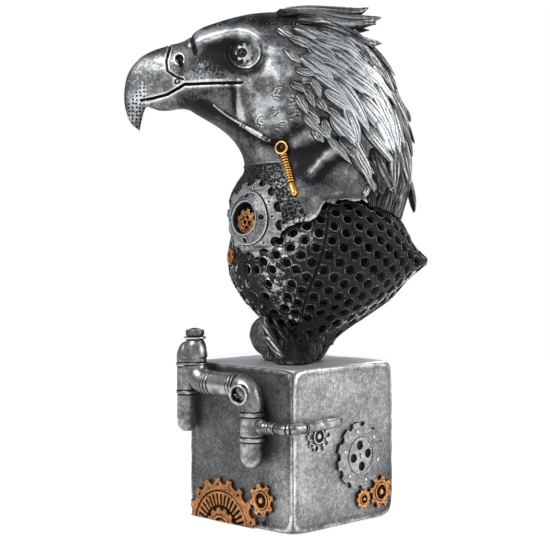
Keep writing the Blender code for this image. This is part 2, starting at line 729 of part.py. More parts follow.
def hole_loop(angle, height, radius, sides):
    """Angles and heights of a round hole's corners, round on the curved face."""
    at, level, rising = surface_frame(angle, height)
    per_angle = float(np.linalg.norm(level)) / 0.01
    unit = level / np.linalg.norm(level)
    slant = rising - unit * float(rising @ unit)
    per_height = float(np.linalg.norm(slant)) / 0.2
    shear = float(rising @ unit) / 0.2
    loop = []
    for k in range(sides):
        turn = 2 * math.pi * k / sides
        dz = radius * math.sin(turn) / per_height
        loop.append((angle + (radius * math.cos(turn) - shear * dz) / per_angle, height + dz))
    return loop


def build_mantle():
    """The hollow perforated shell: the left half is a flat net of holes laid on the form, and is mirrored."""
    scale = 50.0
    border = []
    steps = 20
    angles = np.linspace(0, math.pi, steps + 1)
    border += [(a, float(mantle_lower_edge(a))) for a in angles]
    border += [(math.pi, h) for h in np.linspace(border[-1][1], float(mantle_upper_edge(math.pi)), 9)[1:-1]]
    border += [(a, float(mantle_upper_edge(a))) for a in angles[::-1]]
    border += [(0.0, h) for h in np.linspace(border[-1][1], border[0][1], 8)[1:-1]]
    verts = [Vector((a * scale, h)) for a, h in border]
    faces = [list(range(len(verts)))]
    holes = [hole_loop(a, h, HOLE_RADIUS, HOLE_SIDES) for a, h in hole_centres()]
    for loop in holes:
        faces.append(list(range(len(verts), len(verts) + len(loop))))
        verts += [Vector((a * scale, h)) for a, h in loop]
    for a in np.linspace(HOLE_BACK_LIMIT + 0.16, math.pi - 0.15, 2):
        verts += [Vector((a * scale, h)) for h in np.linspace(20, 84, 6)]
    flat, _, triangles, *_ = delaunay_2d_cdt(verts, [], faces, 1, 1e-5)
    flat = np.array([tuple(v) for v in flat])
    middles = np.array([flat[list(t)].mean(axis=0) for t in triangles])
    keep = np.ones(len(triangles), bool)
    for loop in holes:
        corner = np.array(loop) * (scale, 1.0)
        centre = corner.mean(axis=0)
        for t in np.nonzero(np.abs(middles - centre).max(axis=1) < scale * 0.2)[0]:
            sides = np.cross(np.roll(corner, -1, axis=0) - corner, middles[t] - corner)
            if (sides > 0).all() or (sides < 0).all():
                keep[t] = False
    triangles = [tuple(t) for t, kept in zip(triangles, keep) if kept]
    points = mantle_point(flat[:, 0] / scale, flat[:, 1])
    points[np.abs(flat[:, 0]) < 1e-6, 0] = 0.0
    points[np.abs(flat[:, 0] - math.pi * scale) < 1e-6, 0] = 0.0
    mesh = figure_mesh("perforated_mantle", points, triangles)
    shape = bmesh.new()
    shape.from_mesh(mesh)
    loose = [v for v in shape.verts if not v.link_faces]
    bmesh.ops.delete(shape, geom=loose, context="VERTS")
    inside = figure_matrix() @ Vector((0, AXIS_BACK, TORN_HEIGHT))
    if sum(f.normal.dot(f.calc_center_median() - inside) for f in shape.faces) < 0:
        bmesh.ops.reverse_faces(shape, faces=shape.faces)
    shape.to_mesh(mesh)
    shape.free()
    mantle = add_object("perforated_mantle", mesh, DARK)
    mirror = mantle.modifiers.new("right_half", "MIRROR")
    mirror.merge_threshold = 0.00005
    wall = mantle.modifiers.new("wall", "SOLIDIFY")
    wall.thickness = MANTLE_WALL * PART
    wall.offset = -1.0
    wall.use_even_offset = False
    smooth_shade(mantle, 50.0)


# Head and neck sections in parts, beak tip to neck: outer edge, inner edge, half width, turn share
HEAD_SECTIONS = (
    (113.3, 142.6, 112.9, 144.6, 1.0, 1.0),
    (119.0, 148.0, 111.8, 149.4, 3.2, 1.0),
    (122.2, 157.0, 110.4, 154.9, 5.2, 1.0),
    (122.8, 166.5, 108.5, 157.9, 7.2, 1.0),
    (120.6, 177.5, 105.0, 156.9, 9.4, 1.0),
    (114.0, 187.0, 100.5, 155.6, 11.6, 1.0),
    (104.5, 192.8, 95.0, 155.6, 13.4, 1.0),
    (94.0, 196.2, 88.5, 156.6, 15.0, 1.0),
    (85.0, 199.2, 82.5, 156.2, 17.4, 1.0),
    (76.5, 206.0, 77.0, 153.2, 21.0, 1.0),
    (66.0, 210.4, 71.0, 149.8, 25.0, 1.0),
    (54.0, 214.0, 65.5, 146.6, 28.2, 1.0),
    (41.0, 216.8, 60.5, 143.2, 30.8, 1.0),
    (27.0, 217.6, 56.0, 139.2, 33.2, 1.0),
    (11.0, 216.0, 52.2, 134.6, 35.4, 1.0),
    (-6.0, 211.5, 49.4, 129.8, 37.4, 0.98),
    (-22.0, 203.5, 47.8, 125.4, 39.2, 0.93),
    (-35.5, 190.0, 47.2, 120.8, 41.0, 0.83),
    (-45.0, 172.5, 48.6, 115.4, 43.0, 0.68),
    (-52.5, 152.5, 52.6, 109.5, 45.4, 0.48),
    (-57.5, 133.0, 57.0, 103.5, 47.8, 0.26),
    (-60.0, 115.0, 60.4, 98.0, 49.6, 0.08),
)

# Courses of the face's carving in parts, (forward, height), on each side of the head
BROW_LINE = (
    (83.0, 195.0),
    (76.0, 198.8),
    (69.0, 200.8),
    (61.0, 202.8),
    (54.0, 203.6),
    (46.6, 201.0),
    (41.0, 196.0),
    (37.0, 191.0),
    (31.0, 189.4),
    (20.0, 189.4),
)
MOUTH_LINE = (
    (112.2, 161.0),
    (105.2, 162.1),
    (96.7, 164.2),
    (90.7, 167.5),
    (86.0, 170.2),
    (68.5, 170.2),
    (50.7, 169.8),
)
EYE_CENTRE = (50.0, 188.3)


def course_distance(u, z, course):
    """Distance from points to a course, and how far along the course the nearest point is."""
    best = np.full(np.shape(u), 1e9)
    where = np.zeros(np.shape(u))
    course = np.asarray(course, float)
    count = len(course) - 1
    for i in range(count):
        a, b = course[i], course[i + 1]
        span = b - a
        t = np.clip(((u - a[0]) * span[0] + (z - a[1]) * span[1]) / (span @ span), 0, 1)
        d = np.hypot(u - a[0] - t * span[0], z - a[1] - t * span[1])
        nearer = d < best
        best = np.where(nearer, d, best)
        where = np.where(nearer, (i + t) / count, where)
    return best, where


def face_relief(u, z):
    """How far the face stands out sideways over the plain form, in parts, at a place of the profile."""
    brow, along = course_distance(u, z, BROW_LINE)
    swell = np.sin(np.pi * np.clip(0.08 + 0.86 * along, 0, 1)) ** 0.6
    relief = 4.2 * swell * np.exp(-((brow / 3.6) ** 2))
    eye = ((u - EYE_CENTRE[0]) / 12.5) ** 2 + ((z - EYE_CENTRE[1] + 1.0) / 10.0) ** 2
    relief -= 4.6 * np.exp(-(eye**1.6))
    lores = ((u - 69.0) / 12.0) ** 2 + ((z - 189.0) / 6.0) ** 2
    relief -= 3.0 * np.exp(-lores)
    mouth, _ = course_distance(u, z, MOUTH_LINE)
    relief -= 1.8 * np.exp(-((mouth / 1.1) ** 2))
    relief += 0.9 * np.exp(-(((mouth - 2.8) / 1.4) ** 2))
    cheek = 1 / (1 + np.exp((u - 54.5) / 1.2))
    relief += 2.0 * cheek * np.exp(-(((z - 158) / 16.0) ** 4)) * np.exp(-(((u - 38) / 26.0) ** 4))
    return relief


def turned_point(u, v, z, turn):
    """Forward, leftward and height in parts to x, y, z in parts, turned to the eagle's right by turn."""
    ahead = (-np.sin(turn), -np.cos(turn))
    left = (np.cos(turn), -np.sin(turn))
    return np.stack([u * ahead[0] + v * left[0], AXIS_BACK + u * ahead[1] + v * left[1], z], axis=-1)


def head_ring(share, angles):
    """One section of the head: angle 0 is its outer edge, pi / 2 the eagle's left, pi the inner edge."""
    ou, oz, iu, iz, half, turn = smooth_table(HEAD_SECTIONS, [share])[0]
    cu, cz = (ou + iu) / 2, (oz + iz) / 2
    lean = np.cos(angles)
    u = cu + (ou - iu) / 2 * lean
    z = cz + (oz - iz) / 2 * lean
    side = np.sign(np.sin(angles)) * np.abs(np.sin(angles)) ** 0.85
    v = half * side
    fade = np.abs(np.sin(angles)) ** 0.5
    v = v + np.sign(v) * face_relief(u, z) * fade * np.clip((1 - share) * 4, 0, 1)
    return turned_point(u, v, z, HEAD_TURN * turn)


def neck_hem_ring(angles, above, extra):
    """A section of the neck near its hem, standing over the mantle; the same angles as head_ring."""
    round_angle = math.pi - angles
    height = hem_height(round_angle) + above
    return mantle_point(round_angle, height, -extra)


def head_points(columns, rows):
    angles = np.linspace(0, 2 * math.pi, columns, endpoint=False)
    rings = [head_ring(s, angles) for s in np.linspace(0.0, 1.0, rows)]
    rings.append(neck_hem_ring(angles, 5.0, SKIRT + 0.6))
    rings.append(neck_hem_ring(angles, 2.0, SKIRT + 0.3))
    rings.append(neck_hem_ring(angles, 0.0, SKIRT))
    return rings


# A feather's outline: share of its length, share of its width
BLADE_OUTLINE = ((0.0, 0.35), (0.2, 0.8), (0.5, 1.0), (0.75, 0.86), (0.92, 0.5), (1.0, 0.12))
BLADE_THICKNESS = 4.2


def blade(root, tip_way, face_way, length, width, thickness, curl):
    """A closed feather blade in parts from its root along tip_way, its face looking along face_way."""
    root, way, face = Vector(root), Vector(tip_way).normalized(), Vector(face_way).normalized()
    face = (face - way * face.dot(way)).normalized()
    across = way.cross(face)
    points, faces = [], []
    for s, w in BLADE_OUTLINE:
        middle = root + way * (length * s) + face * (curl * s * s)
        half = width * w / 2
        thick = thickness * (0.55 + 0.45 * w)
        for a, t in ((-1.0, 0.0), (0.0, 0.5), (1.0, 0.0), (0.0, -0.6)):
            points.append(middle + across * (half * a) + face * (thick * t))
    return points, ring_faces(len(BLADE_OUTLINE), 4)


# Feather rows in parts: share of the head's length, ring angles from and to, count, length, width, curl
FEATHER_ROWS = (
    (0.655, 14, 14, 1, 42.0, 12.0, 11.0),
    (0.685, 0, 30, 2, 40.0, 12.0, 7.0),
    (0.73, 8, 60, 4, 34.0, 11.0, 3.5),
    (0.79, 0, 70, 5, 34.0, 11.5, 4.0),
    (0.86, 12, 84, 5, 34.0, 12.0, 5.5),
    (0.93, 0, 92, 6, 32.0, 13.0, 6.5),
    (0.985, 10, 100, 6, 26.0, 13.5, 7.5),
)


def feather_blades():
    """Places of the large feathers: they overlap in rows down the nape and end at the hem."""
    for share, low, high, count, length, width, curl in FEATHER_ROWS:
        for side in (1, -1):
            for angle in np.radians(np.linspace(low, high, count)):
                if side < 0 and angle < 1e-6:
                    continue
                at = head_ring(share, np.array([angle * side]))[0]
                ahead = head_ring(min(share + 0.03, 1.0), np.array([angle * side]))[0]
                behind = head_ring(share - 0.03, np.array([angle * side]))[0]
                beside = head_ring(share, np.array([angle * side + 0.05]))[0]
                way = ahead - behind
                normal = np.cross(beside - at, way)
                normal = normal / np.linalg.norm(normal)
                lift = curl * (1.0 - 0.75 * angle / math.radians(100))
                yield at + normal * 0.6, way, normal, length, width, BLADE_THICKNESS, lift


def join_shapes(name, shapes):
    """One mesh from several closed ones, in parts."""
    points, faces = [], []
    for shape_points, shape_faces in shapes:
        base = len(points)
        points.extend(tuple(p) for p in shape_points)
        faces.extend(tuple(base + i for i in face) for face in shape_faces)
    return figure_mesh(name, points, faces)


def outward(mesh):
    shape = bmesh.new()
    shape.from_mesh(mesh)
    bmesh.ops.recalc_face_normals(shape, faces=shape.faces)
    shape.to_mesh(mesh)
    shape.free()
    return mesh


def largest_piece(item):
    """Keeps the largest of an object's separate pieces, so that no trimmed scrap is left."""
    shape = bmesh.new()
    shape.from_mesh(item.data)
    left = set(shape.verts)
    pieces = []
    while left:
        front = [left.pop()]
        piece = list(front)
        while front:
            for edge in front.pop().link_edges:
                for vert in edge.verts:
                    if vert in left:
                        left.remove(vert)
                        front.append(vert)
                        piece.append(vert)
        pieces.append(piece)
    keep = max(pieces, key=len)
    scraps = [vert for piece in pieces if piece is not keep for vert in piece]
    bmesh.ops.delete(shape, geom=scraps, context="VERTS")
    shape.to_mesh(item.data)
    shape.free()


def ball(centre, radii, rings, columns):
    """A closed ellipsoid in parts."""
    points = []
    for k in range(rings):
        down = math.pi * (k + 0.5) / rings
        for j in range(columns):
            turn = 2 * math.pi * j / columns
            way = (math.sin(down) * math.cos(turn), math.sin(down) * math.sin(turn), math.cos(down))
            points.append([centre[a] + radii[a] * way[a] for a in range(3)])
    return points, ring_faces(rings, columns)


def cheek_place(tree, u, z, side, stand):
    """A place in metres on the head's side, found by looking at it sideways, standing out by stand parts."""
    start = figure_matrix() @ Vector(turned_point(u, 90.0 * side, z, HEAD_TURN))
    way = Vector((math.cos(HEAD_TURN), -math.sin(HEAD_TURN), 0)) * side
    hit = tree.ray_cast(start, -way)[0]
    return hit + way * (stand * PART), way


def cheek_tube(name, places, radii, finish, grow=0.0):
    """A rod on the cheek, or with grow the slightly larger one that cuts its seat."""
    ends = list(places)
    ends[0] = ends[0] + (ends[0] - ends[1]).normalized() * grow
    ends[-1] = ends[-1] + (ends[-1] - ends[-2]).normalized() * grow
    return tube(name, ends, [r * PART + grow for r in radii], finish, 2)


def ring_plate(name, place, way, radius, bore, thickness, finish=None):
    """A flat ring, or a disc when bore is 0, centred on place with its axis along way."""
    loops = [circle(radius, 12)] + ([circle(bore, 12)] if bore else [])
    ring = plate(name, loops, thickness, finish)
    ring.data.transform(Matrix.Translation((0, 0, -thickness / 2)))
    ring.data.transform(Vector((0, 0, 1)).rotation_difference(way).to_matrix().to_4x4())
    ring.data.transform(Matrix.Translation(place))
    return ring


def build_cheek_trim(head, side, word):
    """The jaw rod, cheek ring and spring rod on one side, each in a seat cut into the head."""
    tree = BVHTree.FromObject(head, bpy.context.evaluated_depsgraph_get())
    rod = [cheek_place(tree, u, z, side, JAW_ROD_RADIUS * 0.55)[0] for u, z in JAW_ROD_COURSE]
    spring = [cheek_place(tree, u, z, side, SPRING_RADIUS * 0.5)[0] for u, z in SPRING_COURSE]
    centre, way = cheek_place(tree, *CHEEK_RING_PLACE, side, 1.2)
    bulge = (0.8, 1.0, 1.35, 1.0, 1.0)
    rod_radii = [JAW_ROD_RADIUS * b for b in bulge]
    spring_radii = [SPRING_RADIUS] * len(spring)
    radius, thickness = CHEEK_RING_RADIUS * PART, 2.6 * PART
    pieces = (
        (
            cheek_tube(f"{word}_jaw_rod", rod, rod_radii, SILVER),
            cheek_tube("rod_seat", rod, rod_radii, SILVER, GAP * 1.4),
        ),
        (
            cheek_tube(f"{word}_spring_rod", spring, spring_radii, COPPER),
            cheek_tube("spring_seat", spring, spring_radii, COPPER, GAP * 1.4),
        ),
        (
            ring_plate(f"{word}_cheek_ring", centre, way, radius, radius * 0.45, thickness, COPPER),
            ring_plate(
                "ring_seat", centre + way * (2 * PART), way, radius + GAP, 0.0, thickness + GAP * 2 + 4 * PART
            ),
        ),
    )
    for piece, seat in pieces:
        smooth_shade(piece)
        boolean(head, seat, "DIFFERENCE")


def neck_cut_edge(angles):
    """Where the neck's hollow over the mantle begins, below its hem."""
    return hem_height(angles) - 14.0


def build_head():
    rings = head_points(72, 110)
    shapes = [(np.concatenate(rings), ring_faces(len(rings), 72))]
    shapes += [blade(*spec) for spec in feather_blades()]
    head = add_object("head_and_neck", outward(join_shapes("head_and_neck", shapes)), SILVER)
    fuse = head.modifiers.new("fuse", "REMESH")
    fuse.mode = "VOXEL"
    fuse.voxel_size = HEAD_VOXEL * PART
    thin = head.modifiers.new("thin", "DECIMATE")
    thin.ratio = HEAD_RATIO
    bpy.context.view_layer.update()
    head = frozen(head, "head_and_neck", SILVER)
    for side in (1, -1):
        eye = turned_point(EYE_CENTRE[0], EYE_OUT * side, EYE_CENTRE[1], HEAD_TURN)
        eyeball = join_shapes("eyeball", [ball(eye, [EYE_RADIUS] * 3, 7, 12)])
        boolean(head, add_object("eyeball", outward(eyeball)), "UNION")
    hollow = mantle_envelope("neck_hollow", GAP_PARTS + FACET_ROOM, neck_cut_edge, 24, 8)
    boolean(head, add_object("neck_hollow", outward(hollow)), "DIFFERENCE")
    front = Vector((0, -1, 0))
    for name, radius, back in (
        ("throat_plate_seat", THROAT_RADIUS, THROAT_PLATE_BACK),
        ("throat_drum_seat", THROAT_DRUM, THROAT_PINION_BACK),
    ):
        reach = 20.0
        middle = figure_matrix() @ Vector((0, -(back - GAP_PARTS + reach / 2), THROAT_HEIGHT))
        seat = ring_plate(name, middle, front, (radius + GAP_PARTS) * PART, 0.0, reach * PART)
        boolean(head, seat, "DIFFERENCE")
    bpy.context.view_layer.update()
    head = frozen(head, "head_and_neck", SILVER)
    for side, word in ((1, "left"), (-1, "right")):
        build_cheek_trim(head, side, word)
    bpy.context.view_layer.update()
    head = frozen(head, "head_and_neck", SILVER)
    largest_piece(head)
    smooth_shade(head, 60.0)


def place_on_throat(item, back):
    """Carries a piece made in XY, in metres, onto the throat with its back at a depth in parts."""
    item.data.transform(Matrix.Rotation(math.pi / 2, 4, "X"))
    item.data.transform(Matrix.Translation(figure_matrix() @ Vector((0, -back, THROAT_HEIGHT))))


def build_throat_gear():
    """The big gear under the throat: a toothed plate and a drum behind it, round the copper gear's window."""
    radius = THROAT_RADIUS * PART
    drum_depth = (THROAT_PLATE_BACK - THROAT_DRUM_BACK) * PART
    face_depth = (THROAT_FACE - THROAT_PLATE_BACK) * PART
    window = circle(THROAT_WINDOW * PART, 14)
    notch = 0.5 * math.pi * radius / THROAT_TEETH
    out = THROAT_HOLE_OUT * PART
    holes = [
        circle(THROAT_HOLE * PART, 5, (out * math.cos(a), out * math.sin(a)))
        for a in (math.radians(45 + 90 * k) for k in range(4))
    ]
    outline = gear_outline(radius, THROAT_TEETH, notch, math.radians(15))
    wheel = plate("throat_gear", [outline, window, *holes], face_depth, SILVER)
    wheel.data.transform(Matrix.Translation((0, 0, drum_depth)))
    drum_loops = [circle(THROAT_DRUM_BODY * PART, 14), window]
    drum = plate("throat_drum", drum_loops, drum_depth + face_depth + GEAR_RELIEF)
    boolean(wheel, drum, "UNION")
    bpy.context.view_layer.update()
    place_on_throat(frozen(wheel, "throat_gear", SILVER), THROAT_DRUM_BACK)
    pinion = gear(
        "throat_pinion", THROAT_PINION_RADIUS * PART, THROAT_PINION_TEETH, 1.8 * PART, COPPER,
        phase=math.radians(70), hub=(THROAT_PINION_RADIUS * 0.5 * PART, GEAR_RELIEF),
    )
    place_on_throat(pinion, THROAT_PINION_BACK)


def build_chest_ring():
    """The copper ring on the eagle's right breast, flat against the mantle."""
    at, level, rising = surface_frame(CHEST_RING_TURN, CHEST_RING_HEIGHT)
    way = Vector(np.cross(level, rising)).normalized()
    thickness = 2.2
    centre = figure_matrix() @ (Vector(at) + way * (thickness / 2 + GAP_PARTS + 0.6))
    radius = CHEST_RING_RADIUS * PART
    ring_plate("chest_ring", centre, way, radius, radius * 0.55, thickness * PART, COPPER)


def foot_cut_edge(angles):
    """Where the foot ends, just below the mantle's lower edge."""
    return mantle_lower_edge(angles) - FACET_ROOM * 3


# Foot sections in parts: height, radius, centre back from the plinth's axis
FOOT_SECTIONS = (
    (GAP_PARTS, 16.0, 1.0),
    (2.5, 18.0, 1.5),
    (6.0, 20.0, 3.0),
    (11.0, 21.5, 6.0),
    (19.0, 22.0, 8.0),
    (27.0, 20.0, 9.0),
)


def build_foot():
    """The feathered foot under the mantle, with a round lobe on the eagle's right front."""
    columns = 18
    angles = np.linspace(0, 2 * math.pi, columns, endpoint=False)
    rings = []
    for height, radius, back in FOOT_SECTIONS:
        wave = 1.0 + 0.05 * np.sin(9 * angles) * (height > 1)
        x, y = radius * wave * np.sin(angles), back - radius * wave * np.cos(angles)
        rings.append(np.stack([x, y, np.full(columns, height)], axis=-1))
    body = join_shapes("feathered_foot", [(np.concatenate(rings), ring_faces(len(rings), columns))])
    foot = add_object("feathered_foot", outward(body), SILVER)
    lobe = add_object("foot_lobe", outward(join_shapes("foot_lobe", [ball(LOBE_CENTRE, LOBE_RADII, 7, 12)])))
    boolean(foot, lobe, "UNION")
    hollow = mantle_envelope("foot_hollow", GAP_PARTS + FACET_ROOM, foot_cut_edge, 36, 12)
    boolean(foot, add_object("foot_hollow", outward(hollow)), "DIFFERENCE")
    bpy.context.view_layer.update()
    foot = frozen(foot, "feathered_foot", SILVER)
    largest_piece(foot)
    smooth_shade(foot, 60.0)


clear_scene()
BUST = collection("steampunk_eagle_bust")
CUTTERS = collection("cutters")
build_plinth()
build_front_pipe()
build_rear_pipe()
build_branch_pipe()
build_front_gears()
build_side_gears()
build_mantle()
build_foot()
build_head()
build_throat_gear()
build_chest_ring()
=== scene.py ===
"""Steampunk eagle bust: the finished surface of each piece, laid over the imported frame. Run it as a script.

Lengths are metres on the plinth. The figure is laid out in millimetres over the plinth's top, and its head in
a frame of its own: u forward, v to the eagle's left and z up.
"""

import math
from functools import cache, partial

import bpy
import numpy as np
from bpy.props import FloatProperty, FloatVectorProperty, IntProperty, PointerProperty
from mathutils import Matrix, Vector
from mathutils.geometry import delaunay_2d_cdt


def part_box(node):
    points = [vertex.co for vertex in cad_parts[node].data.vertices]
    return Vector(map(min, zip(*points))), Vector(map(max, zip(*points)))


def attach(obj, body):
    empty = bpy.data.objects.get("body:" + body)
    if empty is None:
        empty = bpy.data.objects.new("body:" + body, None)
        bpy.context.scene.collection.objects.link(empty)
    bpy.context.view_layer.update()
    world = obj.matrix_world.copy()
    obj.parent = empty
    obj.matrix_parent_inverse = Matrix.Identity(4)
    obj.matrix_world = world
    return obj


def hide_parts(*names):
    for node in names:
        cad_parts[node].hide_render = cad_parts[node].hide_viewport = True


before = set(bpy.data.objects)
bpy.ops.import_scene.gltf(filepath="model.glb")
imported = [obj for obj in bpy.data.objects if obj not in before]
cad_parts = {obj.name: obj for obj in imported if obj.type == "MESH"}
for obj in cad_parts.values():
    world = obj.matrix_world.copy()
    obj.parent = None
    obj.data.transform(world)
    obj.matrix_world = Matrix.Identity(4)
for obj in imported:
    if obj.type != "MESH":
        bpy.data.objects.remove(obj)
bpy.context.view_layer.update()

bl_info = {
    "name": "Steampunk Eagle Bust",
    "version": (1, 0, 0),
    "blender": (4, 5, 0),
    "location": "3D View > Sidebar > Eagle",
    "description": "Models and finishes an eagle bust in antique silver with gears, pipes and a mantle",
    "category": "Add Mesh",
}

_, PLINTH_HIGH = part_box("plinth")
HALF = PLINTH_HIGH.x
TOP = PLINTH_HIGH.z
MM = 0.001
UP = np.array([0, 0, 1.0])
# The head's upright axis is this far behind the plinth's middle, and the face is turned this far.
AXIS_BACK = 25.0
HEAD_TURN = math.radians(38.0)
# Applied pieces stand this clear of the plinth.
CLEAR = 0.0003
# The heights of the big pipe's run and of the thin pipe.
RUN_HEIGHT = TOP - 0.0111
BRANCH_HEIGHT = RUN_HEIGHT - 0.0233
# The depth of the grain in every finish.
RELIEF = 0.00015
# Millimetres for each radian round the mantle, when it is laid flat.
MANTLE_REACH = 50.0
# Holes lie between these angles from the breast's middle, and one that falls in the front band stands at
# the front angle.
FIRST_HOLE = 0.06
LAST_HOLE = math.radians(152)
FRONT_BAND = 0.08
FRONT_ANGLE = 0.068
# The closest that two holes may stand beside the front band, and in it, over twice their radius.
HOLE_GAP = 0.5
FRONT_GAP = 0.3
# Points round a hole of the mantle, and rows along a feather that lies on the head.
RING_SIDES = 18
FEATHER_ROWS = 21


def length(name, about, default):
    return FloatProperty(name=name, description=about, default=default, min=0.0, unit="LENGTH", precision=4)


def colour(name, about, default):
    return FloatVectorProperty(
        name=name, description=about, default=default, min=0.0, max=1.0, subtype="COLOR"
    )


def share(name, about, default):
    return FloatProperty(name=name, description=about, default=default, min=0.0, max=1.0, subtype="FACTOR")


class EagleFinish(bpy.types.PropertyGroup):
    # The bright shades colour rubbed places and also painted highlights and reflections; the dark ones colour
    # hollows and also painted shade.
    silver_bright: colour("Silver, rubbed", "Silver where it is rubbed bright", (0.66, 0.67, 0.675))
    silver_middle: colour("Silver, plain", "Silver between bright and dark places", (0.135, 0.137, 0.14))
    silver_dark: colour("Silver, hollows", "Patina left in the hollows of the silver", (0.009, 0.009, 0.010))
    mantle_bright: colour("Mantle rims", "Rims and worn places of the dark mantle", (0.50, 0.495, 0.49))
    mantle_middle: colour("Mantle", "The mantle's blackened silver", (0.019, 0.019, 0.0195))
    plinth_bright: colour("Plinth edges", "Rubbed edges of the plinth", (0.68, 0.675, 0.67))
    plinth_middle: colour("Plinth", "The plinth's mottled grey", (0.165, 0.168, 0.17))
    steel_bright: colour("Pipe highlights", "Rubbed places of the pipes", (0.62, 0.60, 0.59))
    steel_middle: colour("Pipes", "The pipes' brushed silver", (0.180, 0.170, 0.165))
    copper_bright: colour("Copper, rubbed", "Copper where it is rubbed bright", (0.80, 0.41, 0.165))
    copper_middle: colour("Copper", "Worn copper paint", (0.36, 0.155, 0.055))
    copper_dark: colour("Copper, hollows", "Brown left in the copper's hollows", (0.020, 0.011, 0.007))
    gilt_bright: colour("Bright copper, rubbed", "The cheek trim where it is rubbed", (1.0, 0.62, 0.20))
    gilt_middle: colour("Bright copper", "The cheek trim's gold-copper paint", (0.72, 0.28, 0.035))
    grain: share("Grain", "How strongly the fine speckle shows in every finish", 0.5)


class EaglePlinth(bpy.types.PropertyGroup):
    edge: length("Edge radius", "Rounding of the plinth's edges", 0.0020)
    lumps: length("Unevenness", "How far the cast faces swell and dip", 0.00035)
    cell: length("Net width", "Spacing of the net that the faces are modelled on", 0.0017)


class EaglePipes(bpy.types.PropertyGroup):
    radius: length("Pipe radius", "Radius of the big pipe", 0.0070)
    bend: length("Bend radius", "Radius of the big pipe's bends", 0.0105)
    rear_radius: length("Rear pipe radius", "Radius of the pipe at the left corner", 0.0061)
    branch_radius: length("Branch radius", "Radius of the thin pipe", 0.0032)
    band: length("Band rise", "How far the bands stand out", 0.0005)
    port_along: length("Port along", "How far past the bend's start the port sits", 0.0058)
    branch_reach: length("Branch reach", "Where the thin pipe turns in, from the plinth's near edge", 0.0345)


class EagleGears(bpy.types.PropertyGroup):
    thickness: length("Gear thickness", "Thickness of the gears on the plinth", 0.0022)
    bevel: length("Gear edge", "Rounding of the gears' edges", 0.00035)
    half_radius: length("Half gear radius", "Radius of the gear sunk into the floor", 0.0308)
    side_radius: length("Side gear radius", "Radius of the silver gear", 0.0204)
    pinion_radius: length("Pinion radius", "Radius of both copper pinions", 0.0098)
    idler_radius: length("Idler radius", "Radius of the small silver gear", 0.0094)
    small_radius: length("Small gear radius", "Radius of the smallest copper gear", 0.0058)


class EagleMantle(bpy.types.PropertyGroup):
    hole: length("Hole radius", "Radius of the mantle's holes", 0.00335)
    spacing: length("Hole spacing", "Distance between neighbouring holes", 0.0090)
    wall: length("Wall", "Thickness of the mantle", 0.0017)
    rim: length("Rim height", "How far a hole's rim stands out", 0.00035)


class EagleHead(bpy.types.PropertyGroup):
    rows: IntProperty(name="Rows", description="Rings of the head's net", default=330, min=40)
    columns: IntProperty(name="Columns", description="Points round each ring", default=256, min=24)
    mouth: length("Mouth depth", "Depth of the line between the jaws", 0.0022)
    eye: length("Eye radius", "Radius of the eyeball", 0.0080)
    grain: length("Skin grain", "Height of the modelled unevenness of the skin", 0.00006)


class EaglePlumage(bpy.types.PropertyGroup):
    groove: length("Groove depth", "Depth of the grooves along each feather", 0.00042)
    thickness: length("Feather thickness", "Thickness of a feather at its middle", 0.0018)
    seed: IntProperty(name="Seed", description="Start of the scatter of the feathers", default=7, min=0)


class EagleTrim(bpy.types.PropertyGroup):
    throat: length("Throat gear radius", "Radius of the gear under the throat", 0.0223)
    throat_ring: length("Throat ring radius", "Radius of the raised ring on that gear", 0.0148)
    window: length("Window radius", "Radius of the window in the throat gear", 0.0087)
    breast_ring: length("Breast ring radius", "Radius of the copper ring on the breast", 0.0052)
    rod: length("Jaw rod radius", "Radius of the jaw rod where it is thickest", 0.0018)
    cheek_ring: length("Cheek ring radius", "Radius of the copper ring on the cheek", 0.0044)
    spring: length("Spring rod radius", "Radius of the copper spring rod", 0.0021)


class EagleStage(bpy.types.PropertyGroup):
    floor: colour("Floor", "Pale floor under the bust", (0.93, 0.93, 0.925))
    lens: FloatProperty(name="Lens", description="Focal length of the camera in millimetres", default=85.09)
    glow: FloatProperty(name="Floor glow", description="How much the white floor lights itself", default=0.55)
    key: FloatProperty(name="Key light", description="Power of the left light", default=7.0, unit="POWER")
    fill: FloatProperty(name="Fill light", description="Power of the right light", default=3.6, unit="POWER")


SETTINGS = {
    "eagle_finish": EagleFinish,
    "eagle_plinth": EaglePlinth,
    "eagle_pipes": EaglePipes,
    "eagle_gears": EagleGears,
    "eagle_mantle": EagleMantle,
    "eagle_head": EagleHead,
    "eagle_plumage": EaglePlumage,
    "eagle_trim": EagleTrim,
    "eagle_stage": EagleStage,
}


def unit(vectors):
    vectors = np.asarray(vectors, float)
    return vectors / np.maximum(np.linalg.norm(vectors, axis=-1, keepdims=True), 1e-12)


def smoothstep(low, high, value):
    t = np.clip((value - low) / (high - low), 0.0, 1.0)
    return t * t * (3 - 2 * t)


def bump(value, centre, width):
    return np.exp(-(((value - centre) / width) ** 2))


def around(count):
    """Even angles once round a circle."""
    return np.linspace(0, 2 * math.pi, count, endpoint=False)


def pairs(first, second):
    """Every pair of two rows of values, as two flat arrays."""
    return (grid.ravel() for grid in np.meshgrid(first, second, indexing="ij"))


def ray(angle, reach=1.0):
    """The place in the plane at that angle and distance from the middle."""
    return np.array([reach * math.cos(angle), reach * math.sin(angle)])


def distances(path):
    """How far along a path each of its points is."""
    return np.concatenate([[0], np.cumsum(np.linalg.norm(np.diff(path, axis=0), axis=1))])


